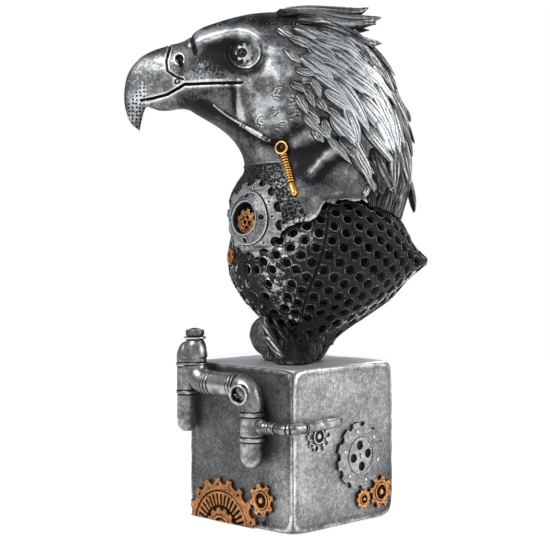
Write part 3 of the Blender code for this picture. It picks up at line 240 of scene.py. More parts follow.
def scatter(points, cell, seed=0):
    """Smooth noise between -1 and 1 at each point, from a lattice of that cell size."""
    at = np.asarray(points, float) / cell
    low = np.floor(at).astype(np.int64)
    part = at - low
    part = part * part * (3 - 2 * part)
    total = np.zeros(len(at))
    for dx in (0, 1):
        for dy in (0, 1):
            for dz in (0, 1):
                x, y, z = low[:, 0] + dx, low[:, 1] + dy, low[:, 2] + dz
                mixed = (x * 73856093 ^ y * 19349663 ^ z * 83492791 ^ seed * 2654435761) & 0x7FFFFFFF
                mixed = (mixed * 1103515245 + 12345) & 0x7FFFFFFF
                mixed = ((mixed >> 9) * 1664525 + 1013904223) & 0x7FFFFFFF
                value = (mixed & 0xFFFFF) / float(0x7FFFF) - 1.0
                weight = (part[:, 0] if dx else 1 - part[:, 0]) * (part[:, 1] if dy else 1 - part[:, 1])
                total += value * weight * (part[:, 2] if dz else 1 - part[:, 2])
    return total


def ragged(points, cell, seed=0, octaves=3):
    total, size, weight = 0.0, cell, 1.0
    for k in range(octaves):
        total = total + weight * scatter(points, size, seed + k)
        size, weight = size * 0.5, weight * 0.55
    return total


class Shells:
    """Gathers the shells of one piece: their points, faces and each point's tone, which holds how rubbed it is
    and, in places, painted light and shade.

    Points are metres on the plinth, or on the figure millimetres over the plinth's top.
    """

    def __init__(self, on_figure=False):
        self.points, self.faces, self.patina, self.extra, self.count = [], [], [], [], 0
        self.scale, self.base = (MM, (0, 0, TOP)) if on_figure else (1.0, (0, 0, 0))

    def add(self, points, faces, patina=0.5, extra=None):
        points = np.asarray(points, float).reshape(-1, 3)
        faces = faces if isinstance(faces, list) else [faces]
        self.faces += [np.asarray(f, np.int64) + self.count for f in faces if len(f)]
        self.points.append(points)
        self.patina.append(np.broadcast_to(np.asarray(patina, float), len(points)).copy())
        blank = np.zeros((len(points), 3))
        self.extra.append(blank if extra is None else np.asarray(extra, float))
        self.count += len(points)

    def build(self, name, look, nodes, slot, sharp=None):
        """Makes the piece, hides the nodes that it stands for and lets it ride with the bust."""
        points = np.concatenate(self.points) * self.scale + np.asarray(self.base)
        mesh = bpy.data.meshes.new(name)
        mesh.vertices.add(len(points))
        mesh.vertices.foreach_set("co", points.astype(np.float32).ravel())
        corners = np.concatenate([f.ravel() for f in self.faces]).astype(np.int32)
        sizes = np.concatenate([np.full(len(f), f.shape[1]) for f in self.faces])
        mesh.loops.add(len(corners))
        mesh.loops.foreach_set("vertex_index", corners)
        mesh.polygons.add(len(sizes))
        starts = np.concatenate([[0], np.cumsum(sizes)[:-1]]).astype(np.int32)
        mesh.polygons.foreach_set("loop_start", starts)
        mesh.update(calc_edges=True)
        mesh.validate()
        for label, kind, values in (
            ("patina", "FLOAT", np.concatenate(self.patina)),
            ("sheet", "FLOAT_VECTOR", np.concatenate(self.extra)),
        ):
            layer = mesh.attributes.new(label, kind, "POINT")
            key = "value" if kind == "FLOAT" else "vector"
            layer.data.foreach_set(key, values.astype(np.float32).ravel())
        mesh.materials.append(finish(look))
        mesh.shade_smooth()
        if sharp:
            mesh.set_sharp_from_angle(angle=math.radians(sharp))
        piece = bpy.data.objects.new(name, mesh)
        bpy.context.scene.collection.objects.link(piece)
        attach(piece, "root")
        if nodes:
            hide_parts(*nodes)
        return piece


def grid_faces(rows, columns, closed=True, flip=False):
    """Quads between rows of points; closed joins the last column to the first."""
    i, j = pairs(np.arange(rows - 1), np.arange(columns if closed else columns - 1))
    k = (j + 1) % columns
    quads = np.stack([i * columns + j, i * columns + k, (i + 1) * columns + k, (i + 1) * columns + j], axis=1)
    return quads[:, ::-1] if flip else quads


def fan(ring, centre, flip=False):
    """Triangles from a closed ring of indices to a centre point."""
    ring = np.asarray(ring)
    tri = np.stack([ring, np.roll(ring, -1), np.full(len(ring), centre)], axis=1)
    return tri[:, ::-1] if flip else tri


def tube_faces(rows, columns, flip=False):
    """Faces of a tube closed by a point at each end, which come after its rows of points."""
    count = rows * columns
    return [
        grid_faces(rows, columns, flip=flip),
        fan(range(columns), count, flip=not flip),
        fan(range(count - columns, count), count + 1, flip=flip),
    ]


def sweep(path, radii, sides=32):
    """A closed tube along a path of points, with a radius at each: its points and faces."""
    path, radii = np.asarray(path, float), np.asarray(radii, float)
    way = unit(np.gradient(path, axis=0))
    side = np.array((0.0, 0.0, 1.0))
    if abs(side @ way[0]) > 0.9:
        side = np.array((1.0, 0.0, 0.0))
    turn = around(sides)[:, None]
    rings = []
    for at, direction, radius in zip(path, way, radii):
        side = unit(side - direction * (side @ direction))
        other = np.cross(direction, side)
        rings.append(at + radius * (np.cos(turn) * side + np.sin(turn) * other))
    return np.concatenate(rings + [path[:1], path[-1:]]), tube_faces(len(path), sides)


def node(tree, kind, **values):
    made = tree.nodes.new(kind)
    for key, value in values.items():
        if key in made.inputs.keys():
            made.inputs[key].default_value = value
        else:
            setattr(made, key, value)
    return made


def maths(tree, operation, first, second):
    made = node(tree, "ShaderNodeMath", operation=operation)
    for socket, value in zip(made.inputs, (first, second)):
        if isinstance(value, (int, float)):
            socket.default_value = value
        else:
            tree.links.new(value, socket)
    return made.outputs[0]


def ranged(tree, value, *limits, curve="SMOOTHSTEP"):
    """Carries a value from one range to another; limits are the first range's ends and the second's."""
    made = node(tree, "ShaderNodeMapRange", interpolation_type=curve)
    for socket, limit in zip(("From Min", "From Max", "To Min", "To Max"), limits):
        made.inputs[socket].default_value = limit
    tree.links.new(value, made.inputs["Value"])
    return made.outputs[0]


def cloud(tree, vector, size, detail, rough):
    """Noise whose features are about size metres wide."""
    made = node(tree, "ShaderNodeTexNoise", Scale=1.0 / size, Detail=detail, Roughness=rough)
    tree.links.new(vector, made.inputs["Vector"])
    return made.outputs[0]


def cells(tree, vector, **values):
    """Distance to the middles of a net of irregular cells."""
    made = node(tree, "ShaderNodeTexVoronoi", **values)
    tree.links.new(vector, made.inputs["Vector"])
    return made.outputs["Distance"]


def sheet_parts(tree):
    """The three values that a mesh carries in its sheet attribute."""
    split = node(tree, "ShaderNodeSeparateXYZ")
    carried = node(tree, "ShaderNodeAttribute", attribute_name="sheet").outputs["Vector"]
    tree.links.new(carried, split.inputs[0])
    return split.outputs


def patina_metal(
    name, shades, gloss, metallic, mottle=0.0018, speck=0.0008, strength=0.6, dots=False, crust=False
):
    """Painted metal rubbed bright on what stands out: shades run from the hollows to the rubbed places, and the
    tone it reads also carries painted light and shade.
    """
    made = bpy.data.materials.new(name)
    made.use_nodes = True
    tree = made.node_tree
    shader = tree.nodes["Principled BSDF"]
    shader.inputs["Metallic"].default_value = metallic
    place = node(tree, "ShaderNodeTexCoord").outputs["Object"]
    level = node(tree, "ShaderNodeAttribute", attribute_name="patina").outputs["Fac"]
    broad = cloud(tree, place, mottle * 7, 4.0, 0.65)
    middle = cloud(tree, place, mottle, 5.0, 0.75)
    fine = cloud(tree, place, speck, 2.0, 0.8)
    for noise, amount in ((broad, 0.5), (middle, 1.1), (fine, 2.2 * bpy.context.scene.eagle_finish.grain)):
        swing = maths(tree, "MULTIPLY", maths(tree, "SUBTRACT", noise, 0.5), amount * strength)
        level = maths(tree, "ADD", level, swing)
    height = maths(tree, "ADD", maths(tree, "MULTIPLY", middle, 0.6), maths(tree, "MULTIPLY", fine, 0.4))
    if dots:
        across, up, amount = sheet_parts(tree)
        flat = node(tree, "ShaderNodeCombineXYZ")
        tree.links.new(across, flat.inputs[0])
        tree.links.new(up, flat.inputs[1])
        pits = cells(tree, flat.outputs[0], voronoi_dimensions="2D", Scale=1.0, Randomness=0.28)
        pitted = maths(
            tree, "MULTIPLY", ranged(tree, pits, 0.20, 0.32, 1.0, 0.0), maths(tree, "MAXIMUM", amount, 0.0)
        )
        level = maths(tree, "SUBTRACT", level, maths(tree, "MULTIPLY", pitted, 1.2))
        height = maths(tree, "SUBTRACT", height, maths(tree, "MULTIPLY", pitted, 2.0))
        maze = maths(tree, "MAXIMUM", maths(tree, "MULTIPLY", amount, -1.0), 0.0)
        for size, dark in ((0.0019, 0.55), (0.0012, 0.35)):
            bored = ranged(tree, cells(tree, place, Scale=1.0 / size), 0.22, 0.60, -dark, 0.12)
            pierced = maths(tree, "MULTIPLY", bored, maze)
            level = maths(tree, "ADD", level, pierced)
            height = maths(tree, "ADD", height, pierced)
    if crust:
        flakes = ranged(tree, cloud(tree, place, 0.0030, 4.0, 0.75), 0.40, 0.62, -0.06, 0.70)
        level = maths(tree, "ADD", level, maths(tree, "MULTIPLY", flakes, sheet_parts(tree)[0]))
    ramp = node(tree, "ShaderNodeValToRGB")
    stops = ramp.color_ramp.elements
    stops.new(0.5)
    for stop, where, shade in zip(stops, (0.12, 0.5, 0.92), shades):
        stop.position = where
        stop.color = (*shade, 1.0)
    tree.links.new(level, ramp.inputs["Fac"])
    tree.links.new(ramp.outputs["Color"], shader.inputs["Base Color"])
    tree.links.new(ranged(tree, level, 0.0, 1.0, *gloss, curve="LINEAR"), shader.inputs["Roughness"])
    raised = node(tree, "ShaderNodeBump", Strength=1.0, Distance=RELIEF)
    tree.links.new(height, raised.inputs["Height"])
    tree.links.new(raised.outputs[0], shader.inputs["Normal"])
    return made


def finish(name):
    """The named finish, made on first use."""
    made = bpy.data.materials.get("eagle " + name)
    if made:
        return made
    tone = bpy.context.scene.eagle_finish
    silver = (tone.silver_dark, tone.silver_middle, tone.silver_bright)
    blackened = (tone.silver_dark, tone.mantle_middle, tone.mantle_bright)
    grey = (tone.silver_dark, tone.plinth_middle, tone.plinth_bright)
    steel = (tone.silver_dark, tone.steel_middle, tone.steel_bright)
    copper = (tone.copper_dark, tone.copper_middle, tone.copper_bright)
    gilt = (tone.copper_dark, tone.gilt_middle, tone.gilt_bright)
    shades, gloss, metallic, more = {
        "silver": (silver, (0.60, 0.38), 0.8, {}),
        "pitted silver": (silver, (0.62, 0.42), 0.8, {"dots": True, "strength": 0.66}),
        "blackened silver": (blackened, (0.65, 0.40), 0.7, {"strength": 0.5, "crust": True}),
        "plinth grey": (grey, (0.60, 0.38), 0.75, {"mottle": 0.0022, "speck": 0.0007, "strength": 0.70}),
        "pipe steel": (steel, (0.50, 0.22), 0.9, {"mottle": 0.0022, "strength": 0.5}),
        "copper": (copper, (0.62, 0.42), 0.8, {"mottle": 0.0024, "speck": 0.0010, "strength": 0.95}),
        "bright copper": (gilt, (0.50, 0.30), 0.85, {"strength": 0.25}),
    }[name]
    return patina_metal("eagle " + name, [tuple(s) for s in shades], gloss, metallic, **more)


class EAGLE_OT_plinth(bpy.types.Operator):
    """Model the plinth: a square block with rounded, rubbed edges, cast faces and a small pit"""

    bl_idname = "eagle.plinth"
    bl_label = "Plinth"

    def execute(self, context):
        size = context.scene.eagle_plinth
        shells = Shells()
        for axis in range(3):
            for sign in (1, -1):
                self.side(shells, size, axis, sign)
        self.pit(shells)
        shells.build("plinth_block", "plinth grey", ["plinth"], "plinth_grey")
        return {"FINISHED"}

    def side(self, shells, size, axis, sign):
        """One face of the block, out to the middle of its rounded edges."""
        half = np.array([HALF, HALF, TOP / 2])
        beside = [k for k in range(3) if k != axis]
        lines = []
        for other in beside:
            flat = half[other] - size.edge
            arc = size.edge * np.tan(np.radians(np.linspace(45, 0, 8)))[:-1]
            inner = np.linspace(-flat, flat, max(8, int(2 * flat / size.cell)))
            lines.append(np.concatenate([-flat - arc, inner, flat + arc[::-1]]))
        rows, columns = len(lines[0]), len(lines[1])
        block = np.zeros((rows * columns, 3))
        block[:, axis] = sign * half[axis]
        block[:, beside[0]], block[:, beside[1]] = pairs(*lines)
        to_corner = np.sort(half - np.abs(block), axis=1)[:, 2:]
        edge = size.edge * (1 + 1.7 * bump(to_corner, 0.0, 0.008))
        core = np.clip(block, edge - half, half - edge)
        way = unit(block - core)
        points = core + way * edge
        lump = ragged(points, 0.013, 3, 3) - 0.9
        lump += 0.5 * scatter(points, 0.0035, 9)
        corner = 0.0095
        near, far = (half[k] - np.abs(points[:, k]) for k in beside)
        bend = corner - np.hypot(np.maximum(corner - near, 0), np.maximum(corner - far, 0))
        rim = np.minimum(np.minimum(near, far), bend)
        fold = bump(rim, size.edge * 1.9, 0.0010) * 0.00020
        points = points + way * (size.lumps * 0.5 * np.minimum(lump, 0)[:, None] - fold[:, None])
        points[:, 2] += half[2]
        points[:, 2] = np.maximum(points[:, 2], 0.0)
        faces = grid_faces(rows, columns, closed=False, flip=(sign > 0) == (axis == 1))
        shells.add(points, faces, self.shade(points, size, axis, sign, 1 - np.abs(way[:, axis]), rim))

    def shade(self, points, size, axis, sign, rounding, rim):
        """How rubbed a face is, brightest along its edges, with painted light and shade laid over whole faces;
        rounding is how far the face has turned over.
        """
        worn = np.clip(0.45 + 0.7 * scatter(points, 0.007, 6) + 0.5 * scatter(points, 0.0016, 7), 0, 1.2)
        shade = 0.48 + 0.12 * scatter(points, 0.02, 5) + 0.10 * smoothstep(0.0, 0.10, rounding)
        shade += 0.40 * bump(rounding, 0.05, 0.05) * (rounding > 0.001) * worn
        shade += 0.20 * bump(rim, size.edge * 1.15, 0.0008) * worn - 0.14 * bump(rim, size.edge * 2.1, 0.0008)
        shade -= 0.24 * bump(rounding, 0.29, 0.09)
        # Painted light and shade: the gear face (+X) is made lighter, less so towards its back edge and lower
        # down, and the face opposite it a little darker; the pipe face (-Y) is made darker, with painted light
        # low towards its near edge.
        across = smoothstep(-0.4, 1.0, points[:, 1] / HALF)
        low = smoothstep(TOP * 0.75, 0.0, points[:, 2])
        shade += (0.17 - 0.12 * across - 0.13 * low if sign > 0 else -0.04) * (axis == 0)
        near_edge = smoothstep(0.1, 1.0, points[:, 0] / HALF) * low
        shade += (0.22 * near_edge - 0.10) * (axis == 1 and sign < 0)
        # Painted reflection: the top face is made much lighter.
        shade += 0.80 * (axis == 2 and sign > 0)
        foot = np.hypot(points[:, 0], points[:, 1] + 0.004)
        return shade + 0.35 * bump(foot, 0.021, 0.006) * (points[:, 2] > TOP - 0.002)

    def pit(self, shells):
        """The small round pit low on the face with the big pipe, from (radius, depth, patina) rows."""
        middle, sides = np.array([HALF - 0.0238, -HALF, 0.0052]), 28
        rows = (
            (0.0034, 0.0001, 0.4), (0.0030, 0.0004, 0.45), (0.0026, 0.0002, 0.3), (0.0022, -0.0002, 0.0),
            (0.0010, -0.0002, -0.1),
        )
        turn = around(sides)
        cup = [
            middle + np.stack([r * np.cos(turn), np.full(sides, -out), r * np.sin(turn)], axis=1)
            for r, out, _ in rows
        ]
        count = len(rows) * sides
        shells.add(
            np.concatenate([*cup, middle[None] + (0, 0.0002, 0)]),
            [grid_faces(len(rows), sides), fan(range(count - sides, count), count)],
            np.append(np.repeat([row[2] for row in rows], sides), -0.1),
        )


def rounded_course(corners, radius, step=0.0003):
    """Points every step along straight runs joined by round bends, and how far along each point is."""
    corners = [np.asarray(c, float) for c in corners]
    course = [corners[0]]
    for before, corner, after in zip(corners, corners[1:], corners[2:]):
        come, go = unit(corner - before), unit(after - corner)
        angle = math.acos(float(np.clip(come @ go, -1, 1)))
        reach = radius * math.tan(angle / 2)
        side = unit(go - come * (come @ go))
        centre = corner - come * reach + side * radius
        for t in np.linspace(0, angle, 14):
            course.append(centre - side * radius * math.cos(t) + come * radius * math.sin(t))
    course.append(corners[-1])
    course = np.array(course)
    far = distances(course)
    at = np.linspace(0, far[-1], max(int(far[-1] / step), 8))
    return np.stack([np.interp(at, far, course[:, k]) for k in range(3)], axis=1), at


def band_profile(at, bands, rise):
    """How far a pipe stands out at each place along it, for bands (middle, half width, share of the rise)."""
    out, groove = np.zeros(len(at)), np.zeros(len(at))
    for middle, half, amount in bands:
        off = np.abs(at - middle)
        out = np.maximum(out, rise * amount * smoothstep(half + 0.0003, half - 0.0001, off))
        groove = np.maximum(groove, bump(off, half + 0.0004, 0.00032))
    return out - 0.00022 * groove, groove


def round_end(at, radius):
    """The share of its radius that a pipe keeps towards its rounded end."""
    end = np.clip((at - (at[-1] - radius)) / radius, 0, 1)
    return np.sqrt(np.maximum(1 - end**2, 0.0004))


def worn_pipe(shells, path, at, radii, bands, rise, sides, seed):
    """Adds a pipe with bands, dark in the grooves beside them and mottled all over, with painted light on its
    upper side and painted shade on its back, and darker towards the bottom.
    """
    out, groove = band_profile(at, bands, rise)
    points, faces = sweep(path, radii + out, sides)
    grooves = np.concatenate([np.repeat(groove, sides), [0, 0]])
    raised = np.concatenate([np.repeat(out, sides), [0, 0]]) / rise
    shade = 0.56 + 0.19 * ragged(points, 0.005, seed, 3) + 0.07 * np.clip(raised, 0, 1) - 0.85 * grooves
    under = smoothstep(TOP, 0.0, points[:, 2]) * 0.06
    axis = np.concatenate([np.repeat(path, sides, axis=0), path[:1], path[-1:]])
    facing = unit(points - axis)
    # Painted light on the upper side and painted shade on the side that faces back.
    shade += 0.18 * facing[:, 2] - 0.30 * np.maximum(facing[:, 1], 0) - under
    wobble = 0.00012 * ragged(points, 0.004, seed + 5, 2)
    shells.add(points + facing * wobble[:, None], faces, shade)


class EAGLE_OT_pipes(bpy.types.Operator):
    """Model the pipes: the big bent one with its capped upright and port, the rear one and the thin one"""

    bl_idname = "eagle.pipes"
    bl_label = "Pipes"

    def execute(self, context):
        size = context.scene.eagle_pipes
        drop = np.array([HALF - 0.0257, -HALF - size.radius - size.band - CLEAR, 0.0])
        self.big(size, drop)
        self.rear(size)
        self.thin(size, drop)
        return {"FINISHED"}

    def big(self, size, drop):
        """The capped upright, the run along the plinth and the pipe down from the port."""
        shells = Shells()
        upright = np.array([0.0184 - HALF, -HALF - 0.0117, 0.0])
        top, cap = TOP + 0.0215, 0.0068
        foot = RUN_HEIGHT - 0.0480
        corner = drop + UP * RUN_HEIGHT
        corners = [upright + UP * (top - cap), upright + UP * RUN_HEIGHT, corner, drop + UP * foot]
        path, at = rounded_course(corners, size.bend)
        bell = (
            (0.0, 0.70), (0.0012, 0.80), (0.0030, 0.91), (0.0055, 1.0), (0.0085, 1.075), (0.0105, 1.095),
            (0.0112, 1.0),
        )
        radii = np.interp(at, *zip(*bell)) * size.radius * round_end(at, size.radius)
        quarter = size.bend * math.pi / 2
        first = top - cap - RUN_HEIGHT - size.bend
        run = float(np.linalg.norm(drop - upright))
        second = first + quarter + run - 2 * size.bend
        down = second + quarter - size.bend
        bands = [
            (first - 0.0006, 0.0005, 1.2), (first + quarter + 0.0012, 0.0008, 0.7),
            (first + quarter + 0.0036, 0.0008, 0.7), (second - 0.0036, 0.0008, 0.7),
            (second - 0.0012, 0.0008, 0.7), (down + 0.0160, 0.0011, 1.0), (down + 0.0307, 0.0011, 1.0),
        ]
        worn_pipe(shells, path, at, radii, bands, size.band, 40, 1)
        self.cap(shells, upright, top)
        self.port(shells, corner, unit(drop - upright), size)
        shells.build("big_pipe", "pipe steel", ["front_pipe"], "pipe_steel", sharp=55)

    def rear(self, size):
        """The domed pipe at the left corner, behind the upright."""
        shells = Shells()
        level = np.array([0.0053 - HALF, -HALF - size.rear_radius - size.band - CLEAR, TOP])
        top = 0.0124
        path, at = rounded_course([level + UP * top, level + UP * 0.005, level - UP * 0.0435], 0.001)
        dome = np.clip(1 - at / 0.0095, 0, 1)
        radii = size.rear_radius * np.sqrt(np.maximum(1 - dome**2, 0.02)) * round_end(at, size.rear_radius)
        bands = [(top + 0.0017, 0.0009, 1.0), (top + 0.0187, 0.0009, 1.0)]
        worn_pipe(shells, path, at, radii, bands, size.band, 36, 11)
        shells.build("left_pipe", "pipe steel", ["rear_pipe"], "pipe_steel", sharp=55)

    def thin(self, size, drop):
        """The thin pipe from the down pipe round the near corner and into the gear face."""
        shells = Shells()
        out, turn_in = HALF + 0.0053, size.branch_reach - HALF
        start = np.array([drop[0] + size.radius + size.band * 0.4, drop[1], BRANCH_HEIGHT])
        corner = np.array([out, drop[1], BRANCH_HEIGHT + 0.0007])
        last = np.array([out, turn_in, BRANCH_HEIGHT + 0.0018])
        inside = np.array([HALF + CLEAR, turn_in, BRANCH_HEIGHT + 0.0018])
        path, _ = rounded_course([start, corner, last], 0.0060)
        before = last - np.array([0, 0.0044, 0])
        end_path, _ = rounded_course([before, last, inside], size.branch_radius * 1.15)
        keep = path[:, 1] < end_path[0, 1] - 0.0002
        path = np.concatenate([path[keep | (path[:, 0] < HALF)], end_path])
        at = distances(path)
        sleeve = ((0.0, 1.46), (0.0016, 1.46), (0.0020, 1.12), (0.0042, 1.12), (0.0048, 1.0))
        radii = np.interp(at, *zip(*sleeve)) * size.branch_radius
        bands = [(0.0072, 0.0005, 0.8), (0.0120, 0.0007, 1.0), (0.0215, 0.0005, 0.8), (0.0330, 0.0004, 0.6)]
        worn_pipe(shells, path, at, radii, bands, size.band, 28, 23)
        shells.build("thin_pipe", "pipe steel", ["branch_pipe"], "pipe_steel", sharp=55)

    def cap(self, shells, upright, top):
        """The upright's top: a knurled nut, a bright washer and a flange."""
        profile = [
            (0.0, 0.0, 0.6), (0.0016, 0.0001, 0.5), (0.0020, 0.0005, 0.1), (0.0032, 0.0005, 0.3),
            (0.0037, 0.0009, 0.8), (0.0052, 0.0012, 0.7), (0.0054, 0.0018, 0.5), (0.0054, 0.0044, 0.3),
            (0.0050, 0.0048, 0.05), (0.0046, 0.0051, 0.05), (0.0060, 0.0052, 0.8), (0.0068, 0.0055, 0.95),
            (0.0069, 0.0060, 0.9), (0.0066, 0.0065, 0.5), (0.0050, 0.0068, 0.1), (0.0049, 0.0076, 0.1),
        ]
        sides = 56
        turn = around(sides)
        points = []
        for radius, below, _ in profile:
            r = radius + (0.00022 * np.cos(turn * 28) if 0.0014 < below < 0.0046 else 0.0)
            points.append(np.stack([r * np.cos(turn), r * np.sin(turn), np.full(sides, -below)], axis=1))
        points = np.concatenate(points) + upright + np.array([0, 0, top])
        shade = np.repeat([p[2] for p in profile], sides)
        shells.add(points, grid_faces(len(profile), sides, flip=True), shade)

    def port(self, shells, corner, run, size):
        """The round port on the bend, with a dark mesh behind its lip."""
        way = unit(np.array([0.22, -0.95, -0.12]))
        base = corner - run * (size.bend - size.port_along) + np.array([0, 0, -0.0032])
        side = unit(np.cross(way, (0, 0, 1)))
        other = np.cross(side, way)
        profile = [
            (0.0062, 0.0030, 0.0), (0.0058, 0.0056, 0.2), (0.0058, 0.0076, 0.4), (0.0062, 0.0082, 0.6),
            (0.0063, 0.0088, 0.72), (0.0060, 0.0093, 0.8), (0.0053, 0.0094, 0.75), (0.0047, 0.0090, 0.5),
            (0.0044, 0.0074, 0.05), (0.0043, 0.0064, -0.1), (0.0020, 0.0062, -0.1), (0.0002, 0.0062, -0.1),
        ]
        sides = 40
        turn = around(sides)[:, None]
        rings = [base + way * out + r * (np.cos(turn) * side + np.sin(turn) * other) for r, out, _ in profile]
        shade = np.repeat([p[2] for p in profile], sides)
        shells.add(np.concatenate(rings), grid_faces(len(profile), sides, flip=True), shade)
        random = np.random.default_rng(4)
        for _ in range(18):
            angle, far = random.uniform(0, 2 * math.pi), 0.0036 * math.sqrt(random.uniform(0.02, 0.8))
            middle = base + way * 0.0066 + far * (math.cos(angle) * side + math.sin(angle) * other)
            slant = random.uniform(0, math.pi)
            along = math.cos(slant) * side + math.sin(slant) * other
            stretch = np.linspace(-0.0012, 0.0012, 7)[:, None]
            path = middle + stretch * along + way * (0.0008 * np.cos(stretch / 0.0012 * 1.5))
            points, faces = sweep(path, np.full(7, 0.00050), 8)
            shells.add(points, faces, 0.15 + 0.5 * random.uniform())


def ways_at(angle):
    """The way out from the middle at an angle, and the way round there."""
    return ray(angle), np.array([-math.sin(angle), math.cos(angle)])


def toothed(radius, teeth, notch, phase, steps=7, pointed=False):
    """A gear's outline, with round gullets bitten out of the rim or with pointed teeth."""
    points = []
    for tooth in range(teeth):
        angle = phase + 2 * math.pi * tooth / teeth
        out, along = ways_at(angle)
        for k in range(steps + 1):
            turn = math.pi * k / steps
            depth = notch * math.sin(turn) ** (1.0 if pointed else 0.7)
            points.append(out * (radius - depth) + along * (-notch * math.cos(turn)))
        if not pointed:
            points.append(ray(angle + math.pi / teeth, radius))
    return np.array(points)


def round_loop(radius, sides, middle=(0.0, 0.0)):
    turn = around(sides)
    return np.stack([middle[0] + radius * np.cos(turn), middle[1] + radius * np.sin(turn)], axis=1)


def clipped(loop, low, left):
    """The part of a loop above low and right of left."""
    for axis, limit in ((1, low), (0, left)):
        kept = []
        for a, b in zip(loop, np.roll(loop, -1, axis=0)):
            if a[axis] >= limit:
                kept.append(a)
            if (a[axis] - limit) * (b[axis] - limit) < 0:
                kept.append(a + (b - a) * ((limit - a[axis]) / (b[axis] - a[axis])))
        loop = np.array(kept)
    return loop


def upper_arc(radius, low):
    """The part of a circle above low, from its right end round to its left."""
    start = math.asin(min(low / radius, 1.0))
    turn = np.linspace(start, math.pi - start, 60)
    return np.stack([radius * np.cos(turn), radius * np.sin(turn)], axis=1)


def cut_plate(loops, thickness, bevel):
    """A flat plate with rounded edges from outlines, holes included, standing on z = 0."""
    curve = bpy.data.curves.new("cut_plate", "CURVE")
    curve.dimensions = "2D"
    curve.fill_mode = "BOTH"
    curve.extrude = thickness / 2 - bevel
    curve.bevel_depth = bevel
    curve.bevel_resolution = 2
    curve.offset = -bevel
    for loop in loops:
        ring = curve.splines.new("POLY")
        ring.points.add(len(loop) - 1)
        corners = np.column_stack([loop, np.zeros(len(loop)), np.ones(len(loop))])
        ring.points.foreach_set("co", corners.ravel())
        ring.use_cyclic_u = True
    holder = bpy.data.objects.new("cut_plate", curve)
    mesh = bpy.data.meshes.new_from_object(holder)
    points = np.zeros(len(mesh.vertices) * 3)
    mesh.vertices.foreach_get("co", points)
    points = points.reshape(-1, 3) + (0, 0, thickness / 2)
    mesh.calc_loop_triangles()
    faces = np.zeros(len(mesh.loop_triangles) * 3, np.int64)
    mesh.loop_triangles.foreach_get("vertices", faces)
    bpy.data.objects.remove(holder)
    bpy.data.curves.remove(curve)
    bpy.data.meshes.remove(mesh)
    return points, faces.reshape(-1, 3)


def turned_disc(profile, sides=40, middle=(0.0, 0.0)):
    """A turned surface about Z from (radius, height, patina) rows, out from the centre."""
    rings = [np.column_stack([round_loop(r, sides, middle), np.full(sides, z)]) for r, z, _ in profile]
    return np.concatenate(rings), grid_faces(len(profile), sides), np.repeat([p[2] for p in profile], sides)


def plate_patina(points, thickness, seed, level=0.55):
    """Bright on the top and its rounded rim, with painted shade darkening it towards the back, where it meets
    what it stands on.
    """
    high = np.clip(points[:, 2] / thickness, 0, 1)
    edge = bump(high, 0.93, 0.10)
    return level * smoothstep(0.0, 0.8, high) + 0.22 * edge + 0.10 * scatter(points, 0.003, seed)


def add_plate(shells, lay, loops, thickness, bevel, seed, level, depth=None):
    """Adds a cut plate where lay puts it; depth is the thickness that its wear and painted shade count from."""
    points, faces = cut_plate(loops, thickness, bevel)
    shells.add(lay(points), faces, plate_patina(points, depth or thickness, seed, level))


def add_disc(shells, lay, profile, sides, middle=(0.0, 0.0), grain=None):
    """Adds a turned disc where lay puts it; grain gives the unevenness of its patina."""
    points, faces, shade = turned_disc(profile, sides, middle)
    shells.add(lay(points), faces, shade + grain(points) if grain else shade)


def lay_front(points, centre):
    """Carries points made in XY onto the plinth's front face."""
    x, y, z = points.T
    return np.stack([x + centre[0], -HALF - z, y + centre[1]], axis=1)


def lay_side(points, centre):
    """Carries points made in XY onto the gear face: x becomes +Y and z becomes +X."""
    x, y, z = points.T
    return np.stack([HALF + z, x + centre[0], y + centre[1]], axis=1)


def meshed(centre, first, second, degrees):
    """The centre of a gear that meshes with another, in that direction from it."""
    reach, angle = first + second + 0.0005, math.radians(degrees)
    return (centre[0] + reach * math.cos(angle), centre[1] + reach * math.sin(angle))


def build_pinion(name, stands_for, lay, radius, teeth, degrees, size, seed, small=False):
    """A copper pinion: round gullets, small holes, a raised ring and a dome.

    A small one has pointed teeth and no holes.
    """
    shells, phase = Shells(), math.radians(degrees)
    notch = 0.62 * math.pi * radius / teeth * (0.72 if small else 1.0)
    loops = [toothed(radius, teeth, notch, phase, pointed=small), round_loop(radius * 0.60, 40)]
    for k in range(0 if small else teeth):
        loops.append(round_loop(0.00052, 8, ray(phase + math.pi * (2 * k + 1) / teeth, 0.76 * radius)))
    add_plate(shells, lay, loops, size.thickness, size.bevel, seed, 0.49)
    floor, top = size.thickness * 0.35, size.thickness
    profile = [
        (0.00005, top + 0.0009, 0.8), (radius * 0.10, top + 0.0008, 0.85), (radius * 0.17, top + 0.0003, 0.6),
        (radius * 0.20, floor, 0.05), (radius * 0.30, floor, 0.0), (radius * 0.42, floor, 0.0),
        (radius * 0.46, top + 0.0003, 0.5), (radius * 0.50, top + 0.0005, 0.8),
        (radius * 0.55, top + 0.0003, 0.6), (radius * 0.57, floor, 0.0), (radius * 0.62, floor, 0.0),
    ]
    add_disc(shells, lay, profile, 40, grain=lambda points: 0.1 * scatter(points, 0.002, seed + 1))
    shells.build(name, "copper", [stands_for], "worn_copper", sharp=40)


